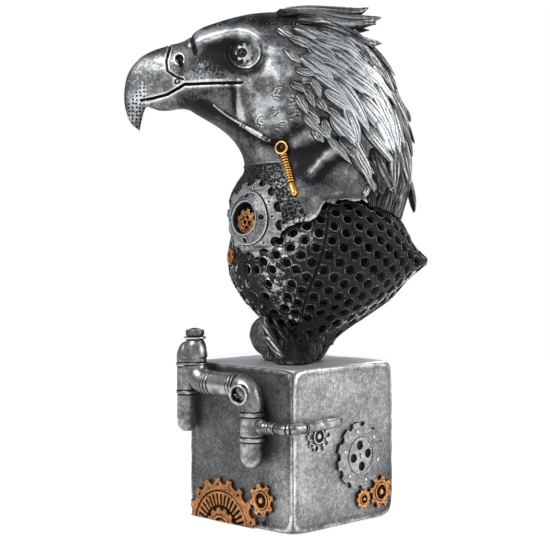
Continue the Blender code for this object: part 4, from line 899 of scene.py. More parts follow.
class EAGLE_OT_plinth_gears(bpy.types.Operator):
    """Model the gears on the plinth: the half-sunk copper gear, the silver gear and the small ones"""

    bl_idname = "eagle.plinth_gears"
    bl_label = "Gears on the plinth"

    def execute(self, context):
        size = context.scene.eagle_gears
        radius, small = size.pinion_radius, size.small_radius
        centre = (0.0310 - HALF, -0.0040)
        self.half_gear(size, centre)
        lay = partial(lay_front, centre=meshed(centre, size.half_radius, radius, 32.5))
        build_pinion("pipe_face_pinion", "front_pinion", lay, radius, 8, 82.0, size, 61)
        centre = (HALF - 0.0330, 0.0408)
        self.side_gear(size, partial(lay_side, centre=centre))
        centre = meshed(centre, size.side_radius, radius, -52.5)
        lay = partial(lay_side, centre=centre)
        build_pinion("gear_face_pinion", "side_pinion", lay, radius, 8, 100.0, size, 31)
        lay = partial(lay_side, centre=meshed(centre, radius, small, 188.5))
        build_pinion("smallest_gear", "small_pinion", lay, small, 10, 18.0, size, 37, small=True)
        self.idler(size, partial(lay_side, centre=(0.0206 - HALF, BRANCH_HEIGHT - 0.0059)))
        return {"FINISHED"}

    def half_gear(self, size, centre):
        """The copper gear that the floor cuts off: a rim, a ring, spokes, a toothed ring and two hub rings."""
        lay = partial(lay_front, centre=centre)
        low, left = 0.0004 - centre[1], -HALF + 0.0034 - centre[0]
        cut = partial(clipped, low=low, left=left)
        thick, radius, teeth, phase = size.thickness, size.half_radius, 18, math.radians(86.4)
        shells = Shells()
        loops = [cut(toothed(radius, teeth, 0.62 * math.pi * radius / teeth, phase, 9))]
        for k in range(0, teeth, 2):
            middle = ray(phase + math.pi * (2 * k + 1) / teeth, 0.0270)
            if middle[1] > low + 0.002 and middle[0] > left + 0.002:
                loops.append(round_loop(0.0010, 10, middle))
        loops.append(cut(round_loop(0.0240, 96)))
        add_plate(shells, lay, loops, thick, size.bevel, 41, 0.33)
        ring = cut(np.concatenate([upper_arc(0.0227, low), upper_arc(0.0213, low)[::-1]]))
        add_plate(shells, lay, [ring], thick * 0.95, 0.0002, 43, 0.37)
        points, faces = cut_plate([cut(round_loop(0.0242, 96))], thick * 0.25, 0.0001)
        shells.add(lay(points), faces, -0.25)
        corners = ((0.0146, -0.00058), (0.0217, -0.00098), (0.0217, 0.00098), (0.0146, 0.00058))
        for k in range(36):
            out, along = ways_at(2 * math.pi * (k + 0.5) / 36)
            spoke = np.array([out * r + along * s for r, s in corners])
            spoke = cut(spoke) if (spoke[:, 1] > low - 0.004).all() else []
            if len(spoke) > 2:
                add_plate(shells, lay, [spoke], thick * 0.95, 0.0002, 47, 0.34, thick)
        hub = 0.0128
        loops = [cut(toothed(hub, 13, 0.4 * math.pi * hub / 12 * 1.3, phase, 6)), cut(round_loop(0.0094, 60))]
        add_plate(shells, lay, loops, thick * 1.15, size.bevel, 53, 0.40)
        ring = np.concatenate([upper_arc(0.0084, low), upper_arc(0.0068, low)[::-1]])
        for arc in (ring, upper_arc(0.0056, low)):
            add_plate(shells, lay, [arc], thick * 1.3, 0.00025, 59, 0.44)
        shells.build("half_sunk_gear", "copper", ["half_gear"], "worn_copper", sharp=40)

    def side_gear(self, size, lay):
        """The silver gear: a toothed rim, a disc with four openings, a raised ring and seven studs."""
        shells = Shells()
        radius, teeth, thick = size.side_radius, 12, size.thickness
        rim = toothed(radius, teeth, 0.46 * math.pi * radius / teeth, math.radians(87.0), 9)
        points, faces = cut_plate([rim, round_loop(0.0116, 64)], thick, size.bevel)
        # worn here dims the gear and paints shade on it, darker towards the plinth's back edge, as on the face
        # behind it.
        worn = 0.84 - 0.14 * smoothstep(-0.004, 0.016, points[:, 0])
        shells.add(lay(points), faces, plate_patina(points, thick, 67) * worn)
        openings = [round_loop(0.00275, 28, ray(math.radians(8.0 + 90.0 * k), 0.0065)) for k in range(4)]
        add_plate(shells, lay, [round_loop(0.0108, 64), *openings], thick * 0.92, 0.0003, 71, 0.38, thick)
        profile = [
            (0.0104, 0.0018, 0.0), (0.0106, 0.0025, 0.5), (0.0110, 0.0027, 0.7), (0.0114, 0.0025, 0.5),
            (0.0116, 0.0015, 0.0), (0.0119, 0.0016, 0.0),
        ]
        add_disc(shells, lay, profile, 72)
        points, faces = cut_plate([round_loop(0.0114, 48)], 0.0007, 0.0001)
        shells.add(lay(points), faces, 0.04)
        studs = [(ray(angle, 0.0154), 0.0012) for angle in np.radians([104, 165, 226, 285, 345, 42])]
        for middle, wide in [*studs, ((0.0, 0.0), 0.0011)]:
            profile = [
                (0.00005, thick + 0.0008, 1.0), (wide * 0.5, thick + 0.0007, 0.95),
                (wide * 0.85, thick + 0.0004, 0.7), (wide, thick - 0.0001, 0.1),
                (wide * 1.3, thick - 0.0002, 0.1),
            ]
            add_disc(shells, lay, profile, 16, middle)
        shells.build("silver_gear", "plinth grey", ["side_gear"], "antique_silver", sharp=40)

    def idler(self, size, lay):
        """The small silver gear: ten gullets and holes, and a ring round a dished middle with a dome in it."""
        shells = Shells()
        radius, teeth, thick = size.idler_radius, 10, 0.0013
        holes = [round_loop(0.0007, 8, ray(angle, 0.0070)) for angle in np.radians(np.arange(18, 378, 36))]
        loops = [toothed(radius, teeth, 0.5 * math.pi * radius / teeth, math.radians(90)), *holes]
        add_plate(shells, lay, loops, thick, 0.0003, 73, 0.58)
        outer, ring, dome, rise = 0.0052, 0.0047, 0.0019, 0.0008
        profile = [
            (0.00005, thick + rise, 0.75), (dome * 0.45, thick + rise * 0.9, 0.8),
            (dome * 0.8, thick + rise * 0.5, 0.6), (dome, thick - 0.0001, 0.15),
            (dome * 1.15, thick - 0.0002, 0.0), (ring * 0.78, thick - 0.0002, 0.05),
            (ring * 0.84, thick + rise * 0.55, 0.7), (ring * 0.92, thick + rise * 0.6, 0.85),
            (ring * 0.98, thick + rise * 0.45, 0.6), (ring * 1.04, thick - 0.0001, 0.05),
            (outer, thick - 0.0003, 0.2),
        ]
        add_disc(shells, lay, profile, 36)
        shells.build("small_silver_gear", "plinth grey", ["idler_gear"], "antique_silver", sharp=40)


# Level sections of the mantle: height, middle, half width, and reach to the front and back.
MANTLE_SECTIONS = np.array([
    (8.0, 5.0, 20.0, 21.0), (16.0, 10.5, 23.0, 25.0), (27.0, 19.5, 32.5, 36.5), (37.0, 23.5, 43.5, 49.0),
    (50.0, 26.0, 52.5, 59.0), (61.0, 27.5, 55.5, 62.5), (71.0, 27.5, 55.0, 62.0), (81.0, 26.5, 51.5, 58.5),
    (91.0, 25.0, 46.5, 52.5), (103.0, 25.0, 38.0, 42.0), (112.0, 25.0, 24.0, 26.0),
])
# Where the mantle's pointed shoulders are, and how far they stand out.
SHOULDER_ANGLE, SHOULDER_HEIGHT, SHOULDER_RISE = math.radians(132.0), 61.0, 8.5


def smooth_table(rows, shares):
    """Reads a table of rows at the given shares of its length, along a smooth curve through the rows."""
    rows = np.asarray(rows, float)
    at = np.clip(np.asarray(shares, float), 0, 1) * (len(rows) - 1)
    low = np.minimum(at.astype(int), len(rows) - 2)
    t = (at - low)[:, None]
    p1, p2 = rows[low], rows[low + 1]
    p0 = np.where(low[:, None] > 0, rows[np.maximum(low - 1, 0)], 2 * p1 - p2)
    p3 = np.where(low[:, None] < len(rows) - 2, rows[np.minimum(low + 2, len(rows) - 1)], 2 * p2 - p1)
    square, cube = 2 * p0 - 5 * p1 + 4 * p2 - p3, 3 * p1 - p0 - 3 * p2 + p3
    return 0.5 * (2 * p1 + (p2 - p0) * t + square * t**2 + cube * t**3)


def folded(angle):
    """How far an angle is from the front, on either side."""
    return np.abs(np.arctan2(np.sin(angle), np.cos(angle)))


def mantle_point(angle, height, inset=0.0):
    """A point of the mantle's outer face: angle 0 looks front and pi / 2 to the eagle's left."""
    angle, height = np.broadcast_arrays(np.asarray(angle, float), np.asarray(height, float))
    where = np.interp(height.ravel(), MANTLE_SECTIONS[:, 0], np.linspace(0, 1, len(MANTLE_SECTIONS)))
    centre, half, reach = smooth_table(MANTLE_SECTIONS, where).T[1:]
    angle, height = angle.ravel(), height.ravel()
    off = (folded(angle) - SHOULDER_ANGLE) / math.radians(14.0)
    swell = SHOULDER_RISE * np.exp(-(off**2) - ((height - SHOULDER_HEIGHT) / 7.0) ** 2)
    x = (half - inset + swell) * np.sin(angle)
    y = centre - (reach - inset + swell) * np.cos(angle)
    return np.stack([x, y, height], axis=-1)


def mantle_normal(angle, height):
    at = mantle_point(angle, height)
    level = mantle_point(np.asarray(angle) + 0.01, height) - at
    rising = mantle_point(angle, np.asarray(height) + 0.3) - at
    return unit(np.cross(level, rising))


def hem_height(angle):
    """The height of the neck's lower edge over the mantle."""
    turn = np.degrees(folded(angle))
    return np.interp(turn, (0, 14, 30, 44, 50, 78, 100, 125, 180), (70, 76, 84, 88, 97, 99, 97, 94, 92))


def torn_edge(angle):
    """The mantle's lower edge: it rises in front over the foot's lobe and is ragged all round."""
    turn = folded(angle)
    wide = 1.2 * np.sin(5 * turn + 0.6) + 0.8 * np.sin(11 * turn)
    edge = 10.0 + 15.0 * np.exp(-((turn / 0.62) ** 2)) + wide
    return edge + 0.5 * np.sin(23 * turn + 1) + 0.3 * np.sin(41 * turn)


def add_wall(piece, thickness):
    """Thickens a sheet inwards."""
    wall = piece.modifiers.new("wall", "SOLIDIFY")
    wall.thickness = thickness
    wall.offset = -1.0
    return wall


def seam_angle(height):
    """The angle of the seam that splits the mantle's left side."""
    return np.radians(np.interp(height, (13.0, 42.0, 53.0, 86.0, 100.0), (29.0, 38.5, 42.5, 52.0, 55.0)))


class EAGLE_OT_mantle(bpy.types.Operator):
    """Model the hollow mantle: a net of round holes with bright rims, torn edges, a seam and rough bands"""

    bl_idname = "eagle.mantle"
    bl_label = "Perforated mantle"

    def execute(self, context):
        size = context.scene.eagle_mantle
        hole, spacing = size.hole / MM, size.spacing / MM
        angle, height, triangles, rim = self.net(self.hole_places(hole, spacing), hole)
        points = mantle_point(angle, height)
        way = mantle_normal(angle, height)
        seam = (angle - seam_angle(height)) * MANTLE_REACH
        on_seam = (height < 92) & (height > 13)
        band = self.rough_band(angle, height)
        rough = ragged(points, 3.2, 5, 3)
        edge = np.minimum(height - torn_edge(angle), 6.0)
        out = np.abs(rim) * size.rim / MM - 0.8 * bump(seam, 0.0, 0.55) * on_seam
        out += 0.35 * bump(np.abs(seam), 1.25, 0.5) * on_seam
        out += 0.10 * rough + band * (0.5 * ragged(points, 2.2, 8, 2)) + 0.5 * bump(edge, 0.0, 2.2) * rough
        points = points + way * out[:, None]
        points[:, 2] += 0.9 * bump(edge, 0.0, 2.0) * scatter(points, 2.4, 3)
        points[(angle < 1e-5) | (angle > math.pi - 1e-5), 0] = 0.0
        # Painted shade: the edge of each hole, and so its wall, is made black; the rims round the holes are
        # rubbed bright.
        shade = 0.15 + 0.09 * rough + np.where(rim < 0, -1.0, 0.66 * rim) + 0.13 * band
        shade += 0.16 * bump(np.abs(seam), 1.3, 0.5) * on_seam - 0.4 * bump(seam, 0, 0.5) * on_seam
        shade += 0.30 * bump(edge, 0.0, 1.8)
        shells = Shells(on_figure=True)
        crust = np.zeros((len(points), 3))
        crust[:, 0] = band
        shells.add(points, triangles, shade, crust)
        self.painted_shade_lining(shells)
        self.strip()
        piece = shells.build("mantle", "blackened silver", ["perforated_mantle"], "dark_silver", sharp=50)
        mirror = piece.modifiers.new("right_half", "MIRROR")
        mirror.merge_threshold = 0.00002
        add_wall(piece, size.wall).use_even_offset = False
        return {"FINISHED"}

    def painted_shade_lining(self, shells):
        """A black sheet behind the holes, left half: painted shade that keeps the mantle dark inside."""
        rows, columns, inset = 26, 90, 4.2
        s, a = pairs(np.linspace(0, 1, rows), np.linspace(0, math.pi, columns))
        height = (torn_edge(a) + 2.5) * (1 - s) + (hem_height(a) + 7.0) * s
        points = mantle_point(a, height, inset)
        points[(a < 1e-5) | (a > math.pi - 1e-5), 0] = 0.0
        shells.add(points, grid_faces(rows, columns, closed=False), -0.6)

    def strip(self):
        """The crumpled strip down the breast, beside the holes' front edge."""
        rows, columns = 110, 60
        s, c = pairs(np.linspace(0, 1, rows), np.linspace(-1, 1, columns))
        height = 26.0 + 45.0 * s
        angle = np.radians(-11.0 + c * (9.5 - 3.0 * s) + 2.2 * np.sin(s * 9) + 1.5 * np.sin(s * 23 + c))
        points = mantle_point(angle, height)
        fold = ragged(np.stack([c * 6, s * 20, 0 * s], axis=1), 3.2, 61, 4)
        edge = smoothstep(1.0, 0.75, np.abs(c)) * smoothstep(0.0, 0.06, s) * smoothstep(1.0, 0.94, s)
        out = -1.2 + edge * (2.1 + 1.5 * fold)
        points = points + mantle_normal(angle, height) * out[:, None]
        spots = smoothstep(0.45, 0.9, ragged(points, 2.0, 62, 2))
        shells = Shells(on_figure=True)
        shells.add(points, grid_faces(rows, columns, closed=False), 0.24 + 0.22 * fold + 0.55 * spots)
        add_wall(shells.build("breast_strip", "blackened silver", [], "dark_silver"), 0.0012)

    def hole_places(self, hole, spacing):
        """Angles and heights of the holes, on a lattice bent round the shell and broken by the seam."""
        heights = np.arange(12.0, 103.0, 0.5)
        meridian = mantle_point(np.full(len(heights), 1.0), heights)
        climbed = distances(meridian)
        places, kept = [], np.zeros((0, 3))
        for k in sorted(range(-12, 30), key=lambda k: abs(k + 0.5)):
            away = (k + 0.5) * spacing * math.sqrt(3) / 2 + 0.4 * np.sign(k + 0.5)
            for j in range(30):
                height = float(np.interp((j + 0.5 * (k % 2)) * spacing + 1.0, climbed, heights))
                near = mantle_point([0.0, math.pi / 2], [height, height])
                mean = math.sqrt((near[1, 0] ** 2 + (AXIS_BACK - near[0, 1]) ** 2) / 2)
                angle = float(seam_angle(height)) + away / mean
                in_front = -FRONT_BAND < angle < FRONT_BAND
                angle = FRONT_ANGLE if in_front else angle
                at = mantle_point(angle, height)
                inside = FIRST_HOLE < angle < LAST_HOLE
                above = height > float(torn_edge(angle)) + hole + 1.4
                below = height < float(hem_height(angle)) + 2.0
                apart = 2 * hole + (FRONT_GAP if in_front else HOLE_GAP)
                clear = not len(kept) or np.linalg.norm(kept - at, axis=1).min() > apart
                if inside and above and below and clear:
                    places.append((angle, height))
                    kept = np.concatenate([kept, at])
        return places

    def hole_ring(self, angle, height, radius):
        """Angles and heights of a ring's corners, round on the curved face."""
        at, beside, over = mantle_point([angle, angle + 0.01, angle], [height, height, height + 0.2])
        level, rising = (beside - at) / 0.01, (over - at) / 0.2
        along = unit(level)
        slant = float(np.linalg.norm(rising - along * (rising @ along)))
        turn = around(RING_SIDES)
        high = radius * np.sin(turn) / slant
        sideways = (radius * np.cos(turn) - float(rising @ along) * high) / np.linalg.norm(level)
        return np.stack([angle + sideways, height + high], axis=1)

    def net(self, places, hole):
        """The left half as triangles between the holes: angles, heights, triangles and shares of a rim, where
        -1 marks a hole's edge for black painted shade.
        """
        turn = np.linspace(0, math.pi, 260)
        border = [(a, float(torn_edge(a))) for a in turn]
        border += [(math.pi, h) for h in np.linspace(border[-1][1], 100, 30)[1:-1]]
        border += [(a, float(hem_height(a)) + 8.0) for a in turn[::-2]]
        border += [(0.0, h) for h in np.linspace(border[-1][1], border[0][1], 26)[1:-1]]
        verts, rim = list(border), [0.0] * len(border)
        faces = [list(range(len(verts)))]
        holes = []
        for angle, height in places:
            holes.append(self.hole_ring(angle, height, hole) * (MANTLE_REACH, 1.0))
            faces.append(list(range(len(verts), len(verts) + RING_SIDES)))
            # The hole's own edge is marked -1 for black painted shade; the ring outside it is the bright rim.
            for radius, level in ((hole, -1.0), (hole + 0.12, 1.0), (hole + 0.40, 0.0)):
                verts += [tuple(p) for p in self.hole_ring(angle, height, radius)]
                rim += [level] * RING_SIDES
        centres = np.array(places)
        for height in np.arange(12.0, 106.0, 2.0):
            for angle in np.arange(0.03, math.pi - 0.02, 0.045):
                if not float(torn_edge(angle)) + 1.2 < height < float(hem_height(angle)) + 6.5:
                    continue
                off = np.hypot((centres[:, 0] - angle) * 45.0, (centres[:, 1] - height) * 1.1)
                if off.min() > hole + 1.4:
                    verts.append((angle, height))
                    rim.append(0.0)
        for side in (-0.026, -0.013, 0.0, 0.013, 0.026):
            for height in np.arange(15.0, 91.0, 1.2):
                verts.append((float(seam_angle(height)) + side, height))
                rim.append(0.0)
        laid = [Vector((a * MANTLE_REACH, h)) for a, h in verts]
        flat, _, triangles, origins, _, _ = delaunay_2d_cdt(laid, [], faces, 1, 1e-5)
        flat = np.array([tuple(p) for p in flat])
        share = np.array([max((rim[k] for k in origin), key=abs) if origin else 0.0 for origin in origins])
        triangles = np.array([tuple(t) for t in triangles])
        middles = flat[triangles].mean(axis=1)
        keep = np.ones(len(triangles), bool)
        for ring in holes:
            near = np.nonzero(np.abs(middles - ring.mean(axis=0)).max(axis=1) < 12.0)[0]
            ahead = np.roll(ring, -1, axis=0) - ring
            gap = middles[near][:, None, :] - ring[None]
            turned = ahead[None, :, 0] * gap[:, :, 1] - ahead[None, :, 1] * gap[:, :, 0]
            keep[near[(turned > 0).all(axis=1) | (turned < 0).all(axis=1)]] = False
        triangles = triangles[keep]
        angle, height = (flat / (MANTLE_REACH, 1.0)).T
        corner = mantle_point(angle, height)[triangles]
        facing = np.cross(corner[:, 1] - corner[:, 0], corner[:, 2] - corner[:, 0])
        outward = mantle_normal(angle[triangles].mean(axis=1), height[triangles].mean(axis=1))
        wrong = (facing * outward).sum(axis=1) < 0
        triangles[wrong] = triangles[wrong][:, ::-1]
        return angle, height, triangles, share

    def rough_band(self, angle, height):
        """How rough and bright the mantle is: in a band down its torn front and one along its back edge."""
        turn = np.degrees(angle)
        line = np.interp(height, (25, 40, 55, 66, 76), (30, 27, 21, 26, 40))
        front = bump(turn, line - 6, 14.0) * smoothstep(20, 28, height) * smoothstep(88, 74, height)
        edge = np.interp(turn, (60, 90, 110, 130, 150, 180), (12, 25, 40, 56, 66, 64))
        back = bump(height, edge, 9.0) * smoothstep(62, 85, turn)
        high = smoothstep(118, 135, turn) * smoothstep(40, 55, height) * 0.45
        return np.clip(np.maximum(np.maximum(front, back), high), 0, 1)


# Sections from the beak's tip to the neck's foot: u and z of the outer and of the inner edge, half width,
# and how far the section turns with the face.
HEAD_SECTIONS = np.array([
    (113.3, 142.6, 112.9, 144.6, 1.0, 1.0), (119.0, 148.0, 111.8, 149.4, 3.2, 1.0),
    (122.2, 157.0, 110.4, 154.9, 5.2, 1.0), (122.8, 166.5, 108.5, 157.9, 7.2, 1.0),
    (120.6, 177.5, 105.0, 156.9, 9.4, 1.0), (114.0, 187.0, 100.5, 155.6, 11.6, 1.0),
    (104.5, 192.8, 95.0, 155.6, 13.4, 1.0), (94.0, 196.2, 88.5, 156.6, 15.0, 1.0),
    (85.0, 199.2, 82.5, 156.2, 17.4, 1.0), (76.5, 206.0, 77.0, 153.2, 21.0, 1.0),
    (66.0, 210.4, 71.0, 149.8, 25.0, 1.0), (54.0, 214.0, 65.5, 146.6, 28.2, 1.0),
    (41.0, 216.8, 60.5, 143.2, 30.8, 1.0), (27.0, 217.6, 56.0, 139.2, 33.2, 1.0),
    (11.0, 216.0, 52.2, 134.6, 35.4, 1.0), (-6.0, 211.5, 49.4, 129.8, 37.4, 0.98),
    (-22.0, 203.5, 47.8, 125.4, 39.2, 0.93), (-35.5, 190.0, 47.2, 120.8, 41.0, 0.83),
    (-45.0, 172.5, 48.6, 115.4, 43.0, 0.68), (-52.5, 152.5, 52.6, 109.5, 45.4, 0.48),
    (-57.5, 133.0, 57.0, 103.5, 47.8, 0.26), (-60.0, 115.0, 60.4, 98.0, 49.6, 0.08),
])
# Lines of the face, each from point to point in u and z.
BROW = (
    (83, 195), (76, 198.8), (69, 200.8), (61, 202.8), (54, 203.6), (46.6, 201), (41, 196), (37, 191),
    (31, 189.4), (20, 189.4),
)
MOUTH = (
    (112.2, 161.0), (105.2, 162.1), (96.7, 164.2), (90.7, 167.5), (86.0, 170.2), (68.5, 170.2), (50.7, 169.8),
)
CERE = ((95.5, 197.5), (94.4, 194.8), (97.0, 184.5), (96.5, 178.6), (91.9, 175.2), (87.2, 173.2))
CHEEK_FOLD = ((56.6, 168.5), (55.6, 166.9), (55.1, 160.7), (53.4, 154.6), (51.7, 148.5))
JAW_BAND = ((73.0, 161.0), (61.3, 153.6), (51.3, 147.4), (42.2, 141.2), (33.6, 135.6))
# Curls of down: u, z, size and the way they open in degrees.
CURLS = (
    (30, 163, 6.0, 20), (24, 158, 5.0, 200), (40, 147, 4.5, 0), (34, 152, 4.0, 160), (20, 149, 5.0, 60),
    (28, 143, 5.0, 30), (14, 168, 5.0, 120), (12, 180, 5.0, 40), (24, 202, 6.0, 60), (32, 206, 5.0, 90),
    (16, 207, 5.0, 30), (44, 210, 4.0, 60), (64, 207, 3.2, 70), (10, 192, 6.0, 10),
)
# The eyeball's middle, how far out it lies, and how far back its iris and forward its pupil sit.
EYE = (50.0, 188.3)
EYE_OUT = 20.5
IRIS = 0.8
PUPIL = 1.9


def course_distance(u, z, course):
    """Distance from points to a course, and how far along the course the nearest point is."""
    best, where = np.full(np.shape(u), 1e9), np.zeros(np.shape(u))
    course = np.asarray(course, float)
    for i in range(len(course) - 1):
        a, span = course[i], course[i + 1] - course[i]
        t = np.clip(((u - a[0]) * span[0] + (z - a[1]) * span[1]) / (span @ span), 0, 1)
        d = np.hypot(u - a[0] - t * span[0], z - a[1] - t * span[1])
        best, where = np.where(d < best, d, best), np.where(d < best, (i + t) / (len(course) - 1), where)
    return best, where


def broad_face(u, z):
    """The brow, the eye's hollow, the lores, the lips and the cheek, as they stand out sideways."""
    brow, along = course_distance(u, z, BROW)
    relief = 4.2 * np.sin(np.pi * np.clip(0.08 + 0.86 * along, 0, 1)) ** 0.6 * np.exp(-((brow / 3.6) ** 2))
    eye = ((u - EYE[0]) / 12.5) ** 2 + ((z - EYE[1] + 1.0) / 10.0) ** 2
    relief -= 4.6 * np.exp(-(eye**1.6))
    relief -= 3.0 * np.exp(-((u - 69.0) / 12.0) ** 2 - ((z - 189.0) / 6.0) ** 2)
    cheek = 1 / (1 + np.exp((u - 54.5) / 1.2))
    relief += 2.0 * cheek * np.exp(-(((z - 158) / 16.0) ** 4)) * np.exp(-(((u - 38) / 26.0) ** 4))
    return relief


def turned_point(u, v, z, turn):
    """Forward, leftward and height to x, y and z, turned to the eagle's right by turn."""
    x = -u * np.sin(turn) + v * np.cos(turn)
    y = AXIS_BACK - u * np.cos(turn) - v * np.sin(turn)
    return np.stack([x, y, z], axis=-1)


def head_surface(share, angle):
    """Points of the head at shares of its length and angles round it, with u, v and z; past 1 is the hem."""
    share, angle = np.broadcast_arrays(np.asarray(share, float), np.asarray(angle, float))
    share, angle = share.ravel(), angle.ravel()
    ou, oz, iu, iz, half, turn = smooth_table(HEAD_SECTIONS, np.minimum(share, 1.0)).T
    lean = np.cos(angle)
    u = (ou + iu) / 2 + (ou - iu) / 2 * lean
    z = (oz + iz) / 2 + (oz - iz) / 2 * lean
    wave = np.abs(np.sin(angle))
    v = half * np.sign(np.sin(angle)) * wave**0.85
    v = v + np.sign(v) * broad_face(u, z) * wave**0.5 * np.clip((1 - share) * 4, 0, 1)
    points = turned_point(u, v, z, HEAD_TURN * turn)
    past = np.clip((share - 1.0) / 0.1, 0, 1.3)[:, None]
    if (past > 0).any():
        hem = mantle_point(math.pi - angle, hem_height(math.pi - angle), -3.4)
        points = points * (1 - past) + hem * past
    return points, u, v, z


def head_frame(share, angle):
    """Points of the head with their outward normals and the way down along the head."""
    share, angle = np.broadcast_arrays(np.asarray(share, float), np.asarray(angle, float))
    at, u, v, z = head_surface(share, angle)
    down = head_surface(share + 0.004, angle)[0] - head_surface(share - 0.004, angle)[0]
    round_way = head_surface(share, angle + 0.02)[0] - head_surface(share, angle - 0.02)[0]
    return at, unit(np.cross(round_way, down)), unit(down), u, v, z


def fine_face(u, v, z, points):
    """The face's carving at each point: how far it stands out, how rubbed it is, with painted light and shade
    in places, and how pitted.
    """
    side = smoothstep(2.0, 5.0, np.abs(v))
    mouth, along = course_distance(u, z, MOUTH)
    open_mouth = side * smoothstep(1.0, 0.97, along)
    gap = bump(mouth, 0.0, 0.62) * open_mouth
    lip = (bump(mouth, 1.35, 0.45) + 0.3 * bump(mouth, 2.1, 0.7)) * open_mouth
    out = -2.0 * gap + 0.50 * lip
    shade = -0.9 * gap + 0.42 * lip
    cere, _ = course_distance(u, z, CERE)
    top_line = np.where(z > 190, 1.0, side)
    out += (-0.8 * bump(cere, 0.0, 0.5) + 0.35 * bump(cere, 1.2, 0.5)) * top_line
    shade += (-0.9 * bump(cere, 0.0, 0.5) + 0.35 * bump(cere, 1.2, 0.45)) * top_line
    nostril = np.hypot((u - 89.3) / 2.3, (z - 185.9) / 2.9)
    lobe = np.hypot((u - 91.0) / 1.75, (z - 184.2) / 1.9)
    tail = np.hypot((u - 88.2) / 1.2, (z - 182.4) / 1.6)
    hole = np.maximum(smoothstep(1.05, 0.8, nostril), smoothstep(1.05, 0.8, tail))
    hole = hole * smoothstep(0.8, 1.15, lobe) * side
    rim = bump(nostril, 1.3, 0.16) * side
    out += -1.8 * hole + 0.35 * rim
    shade += -1.2 * hole + 0.45 * rim
    notch, _ = course_distance(u, z, ((81.6, 203.0), (81.0, 196.0), (79.6, 189.5)))
    out -= 0.7 * bump(notch, 0.0, 1.0)
    shade += 0.28 * bump(u, 82.8, 0.8) * bump(z, 197, 5) - 0.7 * bump(notch, 0.0, 1.1)
    rivet = np.hypot(u - 90.4, z - 172.0)
    knob, groove, lip = smoothstep(1.1, 0.7, rivet), bump(rivet, 1.5, 0.35), bump(rivet, 2.3, 0.4)
    out += (0.45 * knob - 0.5 * groove + 0.4 * lip) * side
    shade += (0.2 * knob - 0.7 * groove + 0.35 * lip) * side
    eye = np.hypot(u - EYE[0], z - EYE[1])
    lids = 0.55 * bump(eye, 8.9, 0.55) - 0.5 * bump(eye, 9.9, 0.4) + 0.4 * bump(eye, 11.0, 0.6)
    out += lids * side * (z < 192)
    lids = 0.45 * bump(eye, 8.9, 0.4) - 0.45 * bump(eye, 9.9, 0.5) + 0.14 * bump(eye, 11.0, 0.5)
    shade += lids * side * (z < 193)
    # Painted shade in the eye's hollow, below the brow.
    shade -= 0.40 * bump(eye, 12.2, 2.8) * side * smoothstep(199, 194, z)
    brow, course = course_distance(u, z, BROW)
    # The brow gets a broad painted highlight, mottled as rubbed silver is.
    rubbed_and_lit = 0.36 + 0.16 * ragged(points, 4.0, 71, 3)
    rubbed_and_lit = rubbed_and_lit * bump(brow, 0.8, 4.2) * smoothstep(0.0, 0.12, course)
    shade += rubbed_and_lit * smoothstep(1.0, 0.86, course) * side
    out += 0.45 * smoothstep(3.4, 1.6, brow) * side * (z < 204)
    # Painted shade under the brow, in front of the eye.
    shade -= 0.52 * bump(u, 62, 14) * bump(z, 190, 8.0) * side * smoothstep(2.5, 5.0, brow)
    lores = bump(u, 68, 12) * bump(z, 180, 6.5) * side
    shade -= 0.12 * lores
    shade -= 0.25 * smoothstep(203, 209, z) * smoothstep(88, 78, u)
    band = bump(z, 175.0, 3.6) * smoothstep(90, 84, u) * smoothstep(48, 58, u) * side
    shade += 0.13 * band
    beak = smoothstep(86, 96, u) * side
    shade += 0.16 * beak * smoothstep(192, 184, z) - 0.15 * smoothstep(186, 193, z) * smoothstep(90, 98, u)
    jaw = smoothstep(167.5, 165.0, z) * smoothstep(66, 74, u)
    shade -= 0.17 * jaw * smoothstep(96, 78, u)
    chin = np.interp(u, (40, 50, 62, 76), (138, 145, 152, 163)) - z
    shade -= 0.12 * smoothstep(0.0, 5.0, chin) * smoothstep(30, 42, u)
    fold, _ = course_distance(u, z, CHEEK_FOLD)
    shade += 0.30 * bump(fold + 0.8, 1.5, 1.3) * smoothstep(56.5, 54.0, u) * side
    shade -= 0.30 * bump(fold, 1.8, 1.8) * (u > 55.2) * side
    strap, course = course_distance(u, z, JAW_BAND)
    below = z < np.interp(u, *zip(*JAW_BAND[::-1]))
    dark = bump(strap, 3.0, 3.0) * below * side
    shade -= 0.30 * dark
    out -= 0.9 * bump(strap, 2.6, 1.8) * below * side
    cheek = smoothstep(53, 47, u) * smoothstep(8, 18, u) * side
    cheek = cheek * smoothstep(136, 150, z) * smoothstep(190, 180, z)
    shade += 0.19 * cheek * (0.8 + 1.2 * ragged(points, 7.0, 72, 3))
    shade += 0.20 * bump(u, 36, 8) * bump(z, 180, 6) * side - 0.20 * bump(u, 19, 4) * bump(z, 170, 12) * side
    # A painted highlight on the neck, below the jaw band.
    shade += 0.26 * bump(u, 39, 7) * bump(z, 127, 7) * side
    shade -= 0.34 * bump(u - np.interp(z, (108, 135), (22, 30.5)), 0, 2.6) * bump(z, 120, 14) * side
    folds = (
        (((-8, 130), (-1, 127.6), (6, 122.4), (12, 115.5)), 1.6, 2.9, 0.42),
        (((20, 133), (14, 137), (6, 139), (-4, 139)), 0.5, 3.4, 0.13),
    )
    # Each fold gets a painted highlight along its ridge and painted shade to either side.
    for course, high, wide, bright in folds:
        ridge, _ = course_distance(u, z, course)
        out += high * bump(ridge, 0.0, wide) * side
        shade += bright * bump(ridge, 0.0, wide * 0.8) * side
        shade -= 0.26 * bump(ridge, wide * 2.0, wide) * side
    hollow = bump(u, 14, 12) * bump(z, 124, 9) * side
    out -= 1.6 * hollow
    shade -= 0.22 * hollow
    pitted = smoothstep(1.5, -1.5, z - (172 - 1.5 * np.abs(u - 111.7))) * smoothstep(108, 111, u)
    shade += 0.26 * pitted
    return out, shade, pitted - 0.55 * lores


